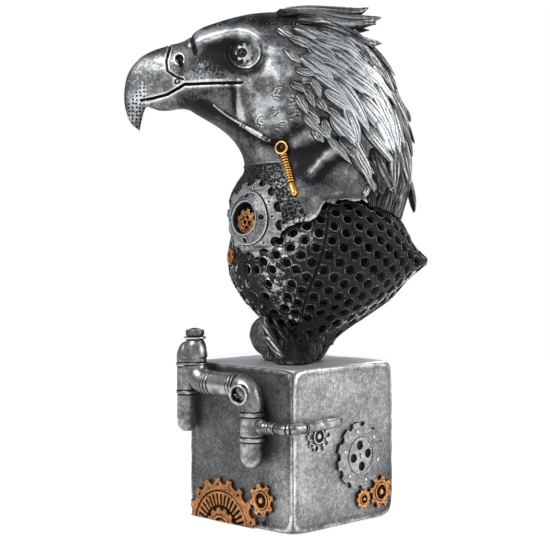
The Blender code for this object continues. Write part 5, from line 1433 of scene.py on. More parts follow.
def collar_texture(points, u, z):
    """The throat's maze of small holes and its edge line."""
    line = np.interp(u, (22, 25.5, 31, 49, 60), (100, 109, 121, 120.4, 121.5))
    behind = u - np.interp(z, (84, 92, 100, 109, 121), (13, 17, 22, 25.5, 31))
    inside = smoothstep(0.0, -0.8, z - line) * smoothstep(-0.4, 0.6, behind)
    edge = bump(z - line, 0.8, 0.5) * smoothstep(28, 31, u)
    dark = bump(z - line, 0.1, 0.4) * smoothstep(28, 31, u)
    wall = 0.4 * scatter(points, 2.6, 21)
    shade = inside * (0.20 * wall - 0.16) + 0.25 * edge - 0.6 * dark
    return inside, inside * (0.35 * wall - 0.5) + 0.6 * edge, shade


class EAGLE_OT_head(bpy.types.Operator):
    """Model the head and the neck's skin: beak, nostril, mouth line, brow, eyes, cheek, folds and collar"""

    bl_idname = "eagle.head"
    bl_label = "Head and neck"

    def execute(self, context):
        size = context.scene.eagle_head
        rows, columns = size.rows, size.columns
        t = np.linspace(0.0, 1.0, rows)
        shares = np.interp(t, (0.0, 0.30, 0.72, 1.0), (0.0, 0.28, 0.66, 1.1))
        angle = around(columns)
        share, turn = pairs(shares, angle + 0.10 * np.sin(2 * angle))
        at, normal, _, u, v, z = head_frame(share, turn)
        u = face_frame(at)[0]
        z = at[:, 2]
        out, shade, pitted = fine_face(u, v, z, at)
        face = smoothstep(1.02, 0.96, share)
        inside, collar_out, collar_shade = collar_texture(at, u, z)
        skin = size.grain / MM
        out = out * face + collar_out + skin * ragged(at, 1.1, 2, 2) + 0.12 * scatter(at, 7.0, 6)
        curls, curl_shade = self.curls(u, v, z)
        out = out + curls
        mottled = 0.13 * ragged(at, 6.0, 12, 3) + 0.07 * ragged(at, 2.2, 13, 2)
        shade = 0.39 + 1.2 * shade * face + collar_shade + curl_shade + mottled
        hem = smoothstep(1.03, 1.1, share)
        out = out + hem * (0.7 * ragged(at, 3.0, 15, 3))
        shade = shade + 0.55 * smoothstep(1.075, 1.1, share) * (0.7 + 0.5 * scatter(at, 2.5, 16))
        points = at + normal * out[:, None]
        points[:, 2] += 1.5 * smoothstep(1.06, 1.1, share) * ragged(at, 3.5, 19, 3)
        inner = points[-columns:] - normal[-columns:] * 2.6 + (0, 0, 0.5)
        points = np.concatenate([points, inner, inner + (0, 0, 14.0), points[:columns].mean(axis=0)[None]])
        shade = np.concatenate([shade, np.full(columns, 0.2), np.full(columns, 0.0), [0.6]])
        faces = [grid_faces(rows + 2, columns, flip=True), fan(range(columns), len(points) - 1)]
        sheet = np.zeros((len(points), 3))
        sheet[: len(u)] = np.stack([u / 2.3, z / 2.3, pitted - inside], axis=1)
        shells = Shells(on_figure=True)
        shells.add(points, faces, shade, sheet)
        shells.build("head", "pitted silver", ["head_and_neck"], "antique_silver")
        self.eyes(size)
        return {"FINISHED"}

    def curls(self, u, v, z):
        """Small curls of down pressed into the cheek and the crown: nested arcs."""
        out, shade = np.zeros(len(u)), np.zeros(len(u))
        side = smoothstep(6, 12, np.abs(v))
        for cu, cz, size, way in CURLS:
            du, dz = u - cu, z - cz
            far = np.hypot(du, dz)
            facing = np.cos(np.arctan2(dz, du) - math.radians(way))
            mask = smoothstep(size, size * 0.6, far) * smoothstep(-0.5, 0.3, facing) * side
            wave = np.cos(far * 2 * math.pi / 1.75)
            out += 0.42 * mask * wave
            shade += 0.48 * mask * wave
        return out, shade

    def eyes(self, size):
        """Both eyeballs: a toothed iris plate with small holes on a dark ball."""
        shells = Shells(on_figure=True)
        radius, rows, columns, teeth = size.eye / MM, 43, 120, 9
        a, b = pairs(np.linspace(0.0, math.pi * 0.62, rows + 1)[1:], around(columns))
        out = np.stack([np.sin(a) * np.cos(b), np.cos(a), np.sin(a) * np.sin(b)], axis=1)
        across, up = out[:, 0] * radius, out[:, 2] * radius
        off = np.hypot(across + IRIS, up)
        gullet = 5.5 + 0.70 * np.tanh(3 * np.cos(np.arctan2(up, across + IRIS) * teeth))
        plate = smoothstep(gullet + 0.15, gullet - 0.15, off)
        from_pupil = np.hypot(across - PUPIL, up)
        pupil = smoothstep(3.15, 2.85, from_pupil)
        holes = np.zeros(len(off))
        for k in range(teeth):
            x, z = ray(2 * math.pi * (k + 0.5) / teeth, 4.4)
            holes = np.maximum(holes, smoothstep(0.62, 0.42, np.hypot(across + IRIS - x, up - z)))
        ring = bump(from_pupil, 3.3, 0.22)
        raised = 0.6 * plate * (1 - pupil) - 0.5 * holes * plate - 0.2 * pupil + 0.25 * ring
        shade = 0.16 + 0.62 * plate * (1 - pupil) + 0.25 * ring - 0.6 * holes * plate - 0.1 * pupil
        shade += 0.25 * bump(np.hypot(across - 1.5, up + 0.6), 1.5, 0.35) * pupil
        ball = np.concatenate([out * (radius + raised)[:, None], [(0.0, radius + 0.4, 0.0)]])
        for side in (1, -1):
            u, v, z = ball[:, 0] + EYE[0], side * (ball[:, 1] + EYE_OUT), ball[:, 2] + EYE[1]
            tip = fan(range(columns), rows * columns, flip=side < 0)
            faces = [grid_faces(rows, columns, flip=side > 0), tip]
            shells.add(turned_point(u, v, z, HEAD_TURN), faces, np.append(shade, 0.6))
        shells.build("eyes", "silver", [], "antique_silver")


# The plumage's front edge: height and how far forward it reaches.
FEATHER_FRONT = ((98, -22), (122, -18), (141, 2), (160, 9), (178, 15), (195, 26), (214, 33))
# Small feathers by the face: height and how far forward.
SMALL_FEATHERS = (
    (204, 31), (198, 22), (190, 27), (186, 17), (178, 20), (172, 12), (166, 16), (160, 9), (153, 12), (148, 3),
    (150, 17), (144, 8), (138, 2), (141, 12), (134, -6), (128, -12), (124, -18), (116, -20), (108, -21),
    (170, 24), (162, 22), (182, 8), (155, 2),
)
# Columns over a feather's top and under it, from edge to edge.
OVER = np.linspace(-1.0, 1.0, 23)
UNDER = np.array([0.6, 0.0, -0.6])
# Tufts on the nape: path from root to tip, width, thickness and twist.
TUFTS = (
    (
        ((30, 4, 216.0), (10, 5, 218.5), (-8, 6, 218.3), (-22, 6, 218.4), (-31, 5, 221.5)),
        8.0, 3.0, 0.9,
    ),
    (
        ((22, 9, 214.5), (4, 10, 214.6), (-14, 10, 212.6), (-28, 9, 213.2), (-38.5, 8, 215.0)),
        9.0, 3.2, 0.7,
    ),
    (
        ((16, 15, 211.0), (0, 15, 210.0), (-12, 14, 208.0), (-24, 12, 209.0), (-34.5, 11, 210.2)),
        8.0, 2.8, -0.4,
    ),
    (
        ((8, 20, 207.5), (-6, 20, 203.5), (-18, 18, 199.6), (-28, 16, 198.2), (-37.0, 14, 198.0)),
        8.0, 2.8, 0.5,
    ),
    (
        ((-10, 22, 199.0), (-20, 21, 192.5), (-29, 19, 187.6), (-35, 17, 185.4), (-39.5, 16, 184.8)),
        7.5, 2.6, 0.3,
    ),
    (((-22, 20, 190.5), (-33, 18, 179.5), (-41, 16, 171.5), (-46.5, 14, 167.0)), 8.0, 2.6, 0.3),
    (((-36, 16, 176.5), (-45, 15, 166.0), (-54, 14, 157.0), (-60.5, 13, 151.0)), 8.0, 2.6, -0.3),
    (((-42, 14, 164.0), (-52, 13, 152.0), (-60, 12, 143.0), (-64.4, 11, 138.0)), 7.5, 3.2, 0.2),
    (((-50, 16, 134.0), (-56, 16, 122.0), (-62, 16, 112.0), (-67.5, 16, 104.6)), 8.0, 2.4, 0.2),
    (((-50, 26, 122.0), (-55, 26, 110.0), (-59, 26, 100.0), (-61.0, 26, 92.5)), 8.0, 2.4, -0.2),
)


def feather_outline(t, point):
    """A feather's width along it: point is 0 for a round tip and 1 for a long pointed one."""
    rise = np.clip(t / 0.22, 0, 1) ** 0.6
    fall = np.clip((1 - t) / (0.22 + 0.45 * point), 0, 1) ** (0.5 + 0.35 * point)
    return (0.25 + 0.75 * rise) * fall


def feather_section(t, width_share, groove, thickness, strands, look):
    """Heights and shades across a feather: rows of OVER then UNDER columns for each row of t."""
    phase, wander = look.uniform(0, 6.28), look.uniform(0, 6.28)
    t, width_share, over = t[:, None], width_share[:, None], OVER[None, :]
    shaft = 0.22 * math.sin(wander) + 0.14 * np.sin(t * 4 + wander)
    c = over - shaft * (1 - over**2)
    barbs = 3.0 * (1 + math.sin(wander * 3 + phase))
    wave = np.cos(np.abs(c) * math.pi * strands - t * barbs + phase * np.sign(c) * 0.5)
    sharp = 1.0 - 1.75 * smoothstep(0.15, 0.95, -wave) - 0.9 * bump(c, 0.0, 0.07)
    sharp = sharp * (0.75 + 0.35 * np.sin(over * 7 + t * 9 + wander))
    crown = (1 - np.abs(over) ** 2.4) * thickness * np.clip(width_share * 1.3, 0.1, 1)
    fade = smoothstep(0.0, 0.15, t) * smoothstep(1.0, 0.93, t) * smoothstep(1.0, 0.8, np.abs(over))
    shade = 0.26 + 0.42 * sharp * fade + 0.14 * crown / thickness - 0.22 * smoothstep(0.8, 1.0, np.abs(over))
    shade = shade + 0.12 * np.sin(phase) * c
    low = np.repeat(-0.55 * thickness * np.clip(width_share, 0.15, 1), len(UNDER), axis=1)
    high = crown + groove * sharp * fade
    return np.concatenate([high, low], axis=1), np.concatenate([shade, np.full(low.shape, 0.12)], axis=1)


def add_feather(shells, points, tone):
    """Adds a feather's rows of points, closed at its root and its tip."""
    rows, columns = tone.shape
    ends = np.stack([points[:columns].mean(axis=0), points[-columns:].mean(axis=0)])
    # The root's end point takes dark painted shade and the tip's end point a light tone.
    tone = np.concatenate([tone.ravel(), [0.1, 0.6]])
    shells.add(np.concatenate([points, ends]), tube_faces(rows, columns, flip=True), tone)


def lay_feather(shells, share, angle, long, wide, lean, lift, look, point, strands, level, sink=0.0):
    """Lays one feather on the head from its root: long and wide in mm, leaning sideways, its tip lifted."""
    size = bpy.context.scene.eagle_plumage
    shares = np.array([share - 0.004, share + 0.004, share, share])
    near = head_surface(shares, np.array([angle, angle, angle - 0.02, angle + 0.02]))[0]
    per_share = max(np.linalg.norm(near[1] - near[0]) / 0.008, 60.0)
    per_angle = max(np.linalg.norm(near[3] - near[2]) / 0.04, 8.0)
    t = np.linspace(0.0, 1.0, FEATHER_ROWS)
    width_share = feather_outline(t, point)
    tilt = (lean * (1.0 if angle >= 0 else -1.0) + look.uniform(-0.12, 0.12) * t)[:, None]
    groove = look.uniform(0.75, 1.2) * size.groove / MM
    thick = size.thickness / MM * (0.6 + 0.4 * wide / 10)
    high, shade = feather_section(t, width_share, groove, thick, strands, look)
    across = np.concatenate([OVER, UNDER])[None, :] * width_share[:, None] * wide / 2
    along = (t * long)[:, None] + 0 * across
    s = share + (along * np.cos(tilt) - across * np.sin(tilt)) / per_share
    a = angle + (along * np.sin(tilt) + across * np.cos(tilt)) / per_angle
    at, normal = head_frame(s.ravel(), a.ravel())[:2]
    rise = (lift * t**2 + 0.4 - sink * (1 - t))[:, None] + high
    tone = shade + level + look.uniform(-0.10, 0.10)
    # Painted shade at the root, where the feather above overlaps it, and painted light on the lifted tip.
    tone = tone - 0.30 * smoothstep(0.45, 0.0, t)[:, None] + 0.14 * smoothstep(0.6, 1.0, t)[:, None]
    add_feather(shells, at + normal * rise.ravel()[:, None], tone)


def free_feather(shells, path, face, wide, thick, look, twist, strands, point, rows=26, level=0.0):
    """A feather along a free path, its face turned towards face and twisted along its length."""
    t = np.linspace(0, 1, rows)
    path = smooth_table(path, t)
    way = unit(np.gradient(path, axis=0))
    face = np.asarray(face, float)
    normal = unit(face - way * (way @ face)[:, None])
    across = np.cross(way, normal)
    cos, sin = np.cos(twist * t)[:, None], np.sin(twist * t)[:, None]
    normal, across = normal * cos + across * sin, across * cos - normal * sin
    width_share = feather_outline(t, point)
    high, shade = feather_section(t, width_share, 0.10 * thick + 0.35, thick, strands, look)
    off = np.concatenate([OVER, UNDER])[None, :] * width_share[:, None] * wide / 2
    points = path[:, None] + across[:, None] * off[:, :, None] + normal[:, None] * high[:, :, None]
    ribs = 0.12 * np.cos(t * 60)[:, None] * smoothstep(0.55, 0.8, t)[:, None]
    add_feather(shells, points.reshape(-1, 3), shade + level + ribs)


class EAGLE_OT_plumage(bpy.types.Operator):
    """Lay the plumage: rows of grooved feathers down the neck, small ones by the face and the nape's tufts"""

    bl_idname = "eagle.plumage"
    bl_label = "Plumage"

    def execute(self, context):
        seed = context.scene.eagle_plumage.seed
        for side, word in ((1, "left"), (-1, "right")):
            look = np.random.default_rng(seed + (side < 0))
            shells = Shells(on_figure=True)
            self.rows(shells, side, look)
            self.small_feathers(shells, side, look)
            shells.build(word + "_plumage", "silver", [], "antique_silver")
        look = np.random.default_rng(seed + 5)
        tufts = Shells(on_figure=True)
        self.tufts(tufts, look)
        tufts.build("nape_tufts", "silver", [], "antique_silver")
        return {"FINISHED"}

    def rows(self, shells, side, look):
        """Rows of overlapping feathers from the crown down to the mantle, behind the face's edge."""
        share, row = 0.545, 0
        while share < 1.05:
            grow = smoothstep(0.55, 0.8, share)
            long = 24.0 + 14.0 * grow
            wide = 8.6 + 4.0 * grow
            probe = head_surface(np.array([share, share]), np.array([0.5, 0.54]))[0]
            step = wide * 0.62 / (np.linalg.norm(probe[1] - probe[0]) / 0.04)
            angle = step * (0.25 + 0.5 * (row % 2))
            while angle < 2.2:
                place = angle + look.uniform(-0.18, 0.18) * step
                at, _, _, (z,) = head_surface(share + look.uniform(-0.006, 0.006), place)
                edge = np.interp(z, *zip(*FEATHER_FRONT)) - face_frame(at)[0][0]
                if edge > 1.0:
                    front = np.clip(edge / 22.0, 0, 1)
                    top = smoothstep(0.9, 0.2, place)
                    lift = (0.9 + 3.6 * top * grow) * look.uniform(0.5, 1.5)
                    lean = look.uniform(-0.30, 0.30) - 0.12 * (1 - front)
                    # Painted light by height: sunny lightens the feathers at mid heights; they are made darker
                    # lower down and over the top.
                    sunny = 0.22 * smoothstep(132, 154, z) * smoothstep(204, 184, z)
                    lay_feather(
                        shells, share, place * side, long * look.uniform(0.75, 1.2) * (0.60 + 0.40 * front),
                        wide * look.uniform(0.7, 1.15) * (0.8 + 0.2 * front), lean, lift, look,
                        point=look.uniform(0.35, 0.95), strands=look.choice([3.5, 4.0, 4.5, 5.0]),
                        level=(0.05 + sunny - 0.32 * smoothstep(150, 122, z)) * (1 - top) - 0.25 * top,
                    )
                angle += step * look.uniform(0.85, 1.15)
            share += 0.036 + 0.010 * grow
            row += 1

    def small_feathers(self, shells, side, look):
        """Short round feathers along the plumage's front edge, over the cheek and the side of the neck."""
        for z, u in SMALL_FEATHERS:
            (share,), (angle,) = side_places([(u + look.uniform(-1.5, 1.5), z)])
            low = z < 140
            lay_feather(
                shells, float(share), float(angle) * side, (12.5 + 6.0 * low) * look.uniform(0.8, 1.2), 5.8,
                look.uniform(-0.25, 0.5) - 0.35 * low, 0.3, look, point=0.50 + 0.25 * low, strands=4.0,
                level=0.06, sink=0.5,
            )

    def tufts(self, shells, look):
        """The tufts that stand off the nape, on both sides of the middle."""
        for side in (1, -1):
            for path, wide, thick, twist in TUFTS:
                path = np.array(path, float)
                path[:, 1] = path[:, 1] * side + look.uniform(-0.6, 0.6)
                highs, shares = (104, 133, 152, 172, 190, 203), (0.05, 0.26, 0.48, 0.68, 0.83, 0.95)
                fade = np.interp(path[:, 2], highs, shares)
                placed = turned_point(*path.T, HEAD_TURN * np.where(path[:, 2] > 205, 1.0, fade))
                middle = placed[len(placed) // 2]
                outward = middle - np.array([0.0, AXIS_BACK, middle[2] * 0.6 + 60])
                turn = twist * side
                free_feather(shells, placed, unit(outward), wide, thick, look, turn, strands=3.0, point=0.45)


# Level sections of the foot's mound: height, radius and middle.
FOOT_SECTIONS = np.array([
    (0.3, 15.0, 1.0), (1.2, 17.4, 1.2), (2.5, 18.0, 1.5), (6.0, 19.2, 3.0), (11.0, 20.4, 6.0),
    (19.0, 20.4, 8.0), (27.0, 17.0, 9.0), (31.0, 8.0, 9.5),
])
# Feathers rolled over the petal: path from top to tip, radius, and how bright they are.
ROLLED_FEATHERS = (
    (
        ((-5.0, -18.0, 27.5), (-1.5, -20.4, 21.0), (4.0, -21.6, 13.0), (11.5, -23.0, 6.5), (18.6, -25.0, 1.6)),
        3.2, 0.14,
    ),
    (
        ((-1.5, -15.2, 29.5), (3.4, -16.0, 22.5), (8.4, -14.8, 15.0), (12.8, -12.0, 8.5), (15.2, -9.4, 3.0)),
        2.0, -0.12,
    ),
    (((-15.0, -8.0, 24.0), (-17.8, -8.6, 16.0), (-17.6, -8.6, 8.0), (-15.5, -9.0, 2.0)), 2.0, -0.12),
)


class EAGLE_OT_foot(bpy.types.Operator):
    """Model the foot: a dark mound of fine hair, a smooth rolled petal and a twisted feather in front"""

    bl_idname = "eagle.foot"
    bl_label = "Feathered foot"

    def execute(self, context):
        look = np.random.default_rng(context.scene.eagle_plumage.seed + 20)
        shells = Shells(on_figure=True)
        self.mound(shells)
        self.hairs(shells, look)
        self.petal(shells)
        self.rolled_feathers(shells)
        shells.build("foot", "silver", ["feathered_foot"], "antique_silver")
        return {"FINISHED"}

    def mound(self, shells):
        """The mound of fine hair, spread over the plinth's corner."""
        rows, columns = 90, 260
        height, radius, back = smooth_table(FOOT_SECTIONS, np.linspace(0, 1, rows)).T
        z, angle = pairs(height, around(columns))
        slant = angle + 0.018 * z

        def hairy(stretch, cell, seed):
            return scatter(np.stack([np.cos(slant) * 16, np.sin(slant) * 16, z / stretch], axis=1), cell, seed)

        hair = hairy(9, 0.75, 31) + 0.6 * hairy(7, 0.4, 32)
        broad = hairy(3, 5.0, 33)
        r, y = np.repeat(radius, columns) + 0.55 * hair + 0.9 * broad - 0.4, np.repeat(back, columns)
        to_corner = np.arctan2(np.sin(angle - math.pi / 4), np.cos(angle - math.pi / 4))
        r += 22.0 * bump(to_corner, 0.0, 0.5) * smoothstep(13, 0, z)
        points = np.stack([r * np.sin(angle), y - r * np.cos(angle), z], axis=1)
        shade = 0.16 + 0.16 * hair + 0.10 * broad + 0.25 * smoothstep(4.0, 0.5, z) * np.maximum(hair, 0)
        points = np.concatenate([points, [(0, 1.0, 0.3), (0, 9.5, 31.0)]])
        shells.add(points, tube_faces(rows, columns), np.concatenate([shade, [0.1, 0.1]]))

    def hairs(self, shells, look):
        """Loose hairs round the mound's foot, lying out over the plinth."""
        count = 150
        floor = 0.35
        for k in range(count):
            angle = 2 * math.pi * (k + look.uniform(-0.4, 0.4)) / count
            way = np.array([math.sin(angle), -math.cos(angle)])
            sideways = ray(angle) * look.uniform(-0.5, 1.6)
            top = look.uniform(3.0, 13.0)
            path = []
            for share, out in ((0.0, -0.3), (0.35, 0.6), (0.7, 0.8), (1.0, 1.2 + look.uniform(0, 1.3))):
                level = top * (1 - share) + floor * share
                where = np.interp(level, FOOT_SECTIONS[:, 0], np.linspace(0, 1, len(FOOT_SECTIONS)))
                _, width, middle = smooth_table(FOOT_SECTIONS, [where])[0]
                flat = way * (width + out - 0.5) + sideways * share * top * 0.25
                path.append((flat[0], middle + flat[1], max(level, floor)))
            wide, shade = look.uniform(1.3, 2.6), look.uniform(-0.45, -0.15)
            free_feather(shells, path, (*way, 0.3), wide, 0.55, look, 0.0, 1.5, 0.9, 12, shade)

    def petal(self, shells):
        """The smooth rolled petal at the front, with two creases on its left side."""
        rows, columns = 58, 110
        a, b = pairs(np.linspace(0.0, math.pi, rows + 2)[1:-1], around(columns))
        out = np.stack([np.sin(a) * np.cos(b), np.sin(a) * np.sin(b), np.cos(a)], axis=1)
        facing = np.arctan2(out[:, 0] + 0.25 * out[:, 2], -out[:, 1])
        crease = bump(facing, 0.75, 0.05) + bump(facing, 1.02, 0.05) + 0.6 * bump(facing, -0.9, 0.06)
        crease *= np.sin(a) ** 0.5
        high = out[:, 2]
        lean = np.stack([-2.2 * high**2 * np.sign(high) * 0.4, 1.8 * np.maximum(-high, 0), 0 * a], axis=1)
        grow = 1 - 0.09 * crease + 0.02 * scatter(out * 6, 1.0, 41)
        points = np.array([-9.5, -12.8, 14.8]) + out * (11.2, 9.6, 12.6) * grow[:, None] + lean
        points[:, 2] = np.maximum(points[:, 2], 0.35)
        # Painted light on the side of the petal that faces the front.
        shade = 0.27 - 0.6 * crease + 0.12 * ragged(points, 3.0, 42, 2) + 0.14 * bump(facing, 0.3, 0.5)
        points = np.concatenate([points, [(-9.5, -12.8, 27.4), (-9.5, -11.0, 2.4)]])
        shells.add(points, tube_faces(rows, columns, flip=True), np.concatenate([shade, [0.4, 0.2]]))

    def rolled_feathers(self, shells):
        """The twisted feather over the petal's side, and its mates beside it."""
        steps, sides = 120, 28
        t, turn = np.linspace(0, 1, steps), np.tile(around(sides), steps)
        along = np.repeat(t, sides)
        for path, thick, level in ROLLED_FEATHERS:
            path = smooth_table(path, t)
            radius = thick * (0.55 + 0.45 * np.sin(np.pi * t**0.8)) * np.clip((1 - t) * 8, 0.15, 1)
            points, faces = sweep(path, radius, sides)
            tube, spine = points[:-2], np.repeat(path, sides, axis=0)
            rib = np.cos(along * 26 + turn * 7.0 + 2.5 * scatter(tube, 4.0, 45))
            tube += (tube - spine) * (0.05 * rib + 0.10 * scatter(tube, 3.0, 46))[:, None]
            facing = unit(tube - spine)
            # Painted light: the side of each feather facing front, to the eagle's right and up is lit, and its
            # ribs show there.
            rubbed_and_lit = smoothstep(-0.2, 0.9, -0.4 * facing[:, 0] - 0.7 * facing[:, 1] + 0.3 * facing[:, 2])
            shade = 0.14 + level + (0.20 + 0.34 * rib) * rubbed_and_lit + 0.10 * ragged(tube, 2.0, 47, 2)
            shells.add(points, faces, np.concatenate([shade, [0.3, 0.3]]))


def face_frame(points):
    """The u and v of points, as if the neck were turned as far as the face."""
    x, y = points[:, 0], AXIS_BACK - points[:, 1]
    return y * math.cos(HEAD_TURN) - x * math.sin(HEAD_TURN), x * math.cos(HEAD_TURN) + y * math.sin(HEAD_TURN)


@cache
def side_net(side):
    """A fine net over one side of the head: its shares, angles and points, and the points' u."""
    share, angle = pairs(np.linspace(0.35, 1.06, 260), np.linspace(0.3, 2.9, 240))
    at = head_surface(share, side * angle)[0]
    return share, side * angle, at, face_frame(at)[0]


def side_places(places, side=1):
    """The shares and angles of places given by the face's u and z, on one side of the head."""
    share, angle, at, u = side_net(side)
    best = [np.argmin(np.hypot(u - pu, at[:, 2] - pz)) for pu, pz in places]
    return share[best], angle[best]


def side_path(places, side, out, steps):
    """A smooth path over one side of the head through places given by u and z, standing out by out."""
    at, normal = head_frame(*side_places(places, side))[:2]
    return smooth_table(at + normal * out, np.linspace(0, 1, steps))


def set_on(points, at, normal, up=(0.0, 0.0, 1.0)):
    """Carries points made in XY to a place on the figure, with +Z along the normal there."""
    across = unit(np.cross(up, normal))
    over = np.cross(normal, across)
    return at + points[:, :1] * across + points[:, 1:2] * over + points[:, 2:3] * normal


# The height of the throat gear's middle.
THROAT_HEIGHT = 87.5


def bowl_terms(x, z):
    """The terms that a smooth bowl over the throat is made up of."""
    return np.stack([np.ones_like(x), z, x * x, z * z, x * x * z], axis=1)


class EAGLE_OT_throat(bpy.types.Operator):
    """Model the gear under the throat, the copper gear in its window and the copper ring on the breast"""

    bl_idname = "eagle.throat"
    bl_label = "Gear under the throat"

    def execute(self, context):
        size = context.scene.eagle_trim
        self.fit()
        self.plate(size.throat / MM, size.throat_ring / MM, size.window / MM)
        self.window_gear()
        self.breast_ring(size.breast_ring / MM)
        return {"FINISHED"}

    def plate(self, outer, ring, window):
        """The silver gear: a toothed plate with studs, a dished cone with four bores, and a window's collar."""
        shells = Shells(on_figure=True)
        teeth, studs, phase = 13, 17.4, math.radians(17.8)
        flush, raised = partial(self.wrapped, out=0.0), partial(self.wrapped, out=0.9)
        middles = [ray(phase + math.pi * (2 * k + 1) / teeth, studs) for k in range(0, teeth, 2)]
        rim = toothed(outer, teeth, 0.30 * math.pi * 2 * outer / teeth, phase, 10)
        holes = [round_loop(ring + 0.5, 90), *(round_loop(0.62, 12, middle) for middle in middles)]
        points, faces = cut_plate([rim, *holes], 1.7, 0.35)
        shade = plate_patina(points / 1000, 0.0017, 81, 0.46) + 0.12 * ragged(points, 1.5, 82, 2)
        shells.add(raised(points), faces, shade)
        profile = [(0.65, 1.6, 0.1), (0.8, 1.95, 0.8), (1.1, 2.0, 0.9), (1.3, 1.8, 0.6), (1.4, 1.4, 0.2)]
        for middle in middles:
            add_disc(shells, raised, profile, 20, middle)
        cone = [(ring + 0.1, 0.4, 0.0), (ring, 2.4, 0.2)]
        cone += [(r, 3.3 + 0.26 * (ring - r), 0.50) for r in np.linspace(ring - 0.5, window + 0.4, 8)]
        add_disc(shells, flush, cone[::-1], 90, grain=lambda points: 0.14 * ragged(points, 1.2, 84, 2))

        def on_cone(points):
            x, y, z = points.T
            return flush(np.stack([x, y, z + (3.4 + 0.26 * (ring - np.hypot(x, y)))], axis=1))

        bore = [
            (0.05, -0.05, -0.4), (1.1, 0.0, -0.4), (1.45, 0.15, -0.2), (1.6, 0.5, 0.5), (1.8, 0.55, 0.8),
            (2.05, 0.3, 0.5), (2.15, -0.3, 0.3),
        ]
        for angle in np.radians([2.0, 92.0, 182.0, 272.0]):
            add_disc(shells, on_cone, bore, 24, ray(angle, 11.9))
        lip = [
            (ring - 1.1, 3.4, 0.3), (ring - 0.7, 3.75, 0.75), (ring - 0.2, 3.75, 0.95), (ring, 3.4, 0.6),
            (ring, 1.5, 0.0),
        ]
        add_disc(shells, flush, lip, 90)
        collar = [
            (window - 0.3, 1.0, 0.0), (window - 0.3, 4.6, 0.1), (window, 5.3, 0.9), (window + 0.5, 5.4, 0.8),
            (window + 0.8, 4.9, 0.2),
        ]
        add_disc(shells, flush, collar, 72)
        back = [(r, 0.45, 0.03) for r in np.linspace(0.05, outer - 1.2, 16)] + [(outer - 1.1, -1.0, 0.0)]
        add_disc(shells, flush, back, 90, grain=lambda points: 0.12 * np.maximum(ragged(points, 1.3, 85, 2), 0))
        shells.build("throat_gear_plate", "silver", ["throat_gear"], "antique_silver", sharp=40)

    def window_gear(self):
        """The copper gear in the window: a toothed rim, two rings and five spokes."""
        shells = Shells(on_figure=True)
        middle = (-0.4, -2.2)
        points, faces = cut_plate([toothed(7.6, 9, 1.5, 0.3, 6), round_loop(5.2, 40)], 1.2, 0.3)
        points[:, :2] += middle
        shells.add(self.wrapped(points, 1.2), faces, plate_patina(points / 1000, 0.0012, 86, 0.42))
        for inner, outer, high in ((3.9, 4.9, 2.2), (1.2, 2.4, 2.8)):
            profile = [
                (inner, 1.0, 0.0), (inner + 0.1, high - 0.3, 0.3), ((inner + outer) / 2, high, 0.6),
                (outer, high - 0.4, 0.35), (outer + 0.1, 0.8, 0.0),
            ]
            add_disc(shells, partial(self.wrapped, out=0.0), profile, 36, middle)
        corners = ((2.2, -0.25), (4.1, -0.2), (4.1, 0.2), (2.2, 0.25))
        for k in range(5):
            angle = 0.5 + 2 * math.pi * k / 5
            points, faces = cut_plate([np.array([middle + ray(angle + s, r) for r, s in corners])], 0.9, 0.2)
            shells.add(self.wrapped(points, 1.1), faces, plate_patina(points / 1000, 0.0009, 87, 0.36))
        shells.build("throat_window_gear", "copper", ["throat_pinion"], "worn_copper", sharp=40)

    def breast_ring(self, r):
        """The copper ring on the breast, with a knob in its middle."""
        shells = Shells(on_figure=True)
        place = (math.radians(-24.0), 64.5)
        profile = [
            (0.55, -0.5, 0.0), (0.6, 0.9, 0.3), (1.2, 1.2, 0.5), (r * 0.42, 0.8, 0.1), (r * 0.55, 0.7, 0.0),
            (r * 0.62, 1.5, 0.4), (r * 0.75, 1.9, 0.6), (r * 0.92, 1.7, 0.5), (r, 0.9, 0.2), (r, -1.5, 0.0),
        ]
        lay = partial(set_on, at=mantle_point(*place)[0], normal=mantle_normal(*place)[0])
        add_disc(shells, lay, profile, 48)
        shells.build("breast_ring", "copper", ["chest_ring"], "worn_copper", sharp=50)

    def fit(self):
        """Fits a smooth curved sheet to the throat, for the plate to follow."""
        s, a = pairs(np.linspace(0.7, 1.08, 60), np.linspace(2.0, 2 * math.pi - 2.0, 120))
        x, y, z = head_surface(s, a)[0].T
        near = (np.hypot(x, z - THROAT_HEIGHT) < 24.0) & (y < -5)
        x, y, z = x[near], y[near], z[near] - THROAT_HEIGHT
        self.terms = np.linalg.lstsq(bowl_terms(x, z), y, rcond=None)[0]

    def wrapped(self, points, out):
        """Lays points made in XY over the throat, with z standing out of it."""
        x, z, high = points.T
        terms = self.terms
        slope_x = (2 * terms[2] + 2 * terms[4] * z) * x
        slope_z = terms[1] + 2 * terms[3] * z + terms[4] * x * x
        way = unit(np.stack([slope_x, -np.ones_like(x), slope_z], axis=1))
        flat = np.stack([x, bowl_terms(x, z) @ terms, z + THROAT_HEIGHT], axis=1)
        return flat + way * (high + out)[:, None]


# Lines of the trim on the cheek, in u and z.
JAW_ROD = ((68.5, 158.0), (60.0, 151.6), (50.5, 145.4), (42.2, 139.9), (33.6, 134.0))
CHEEK_RING = (28.2, 130.0)
SPRING = ((27.2, 125.6), (25.8, 116.5), (24.3, 108.5), (22.8, 100.2))


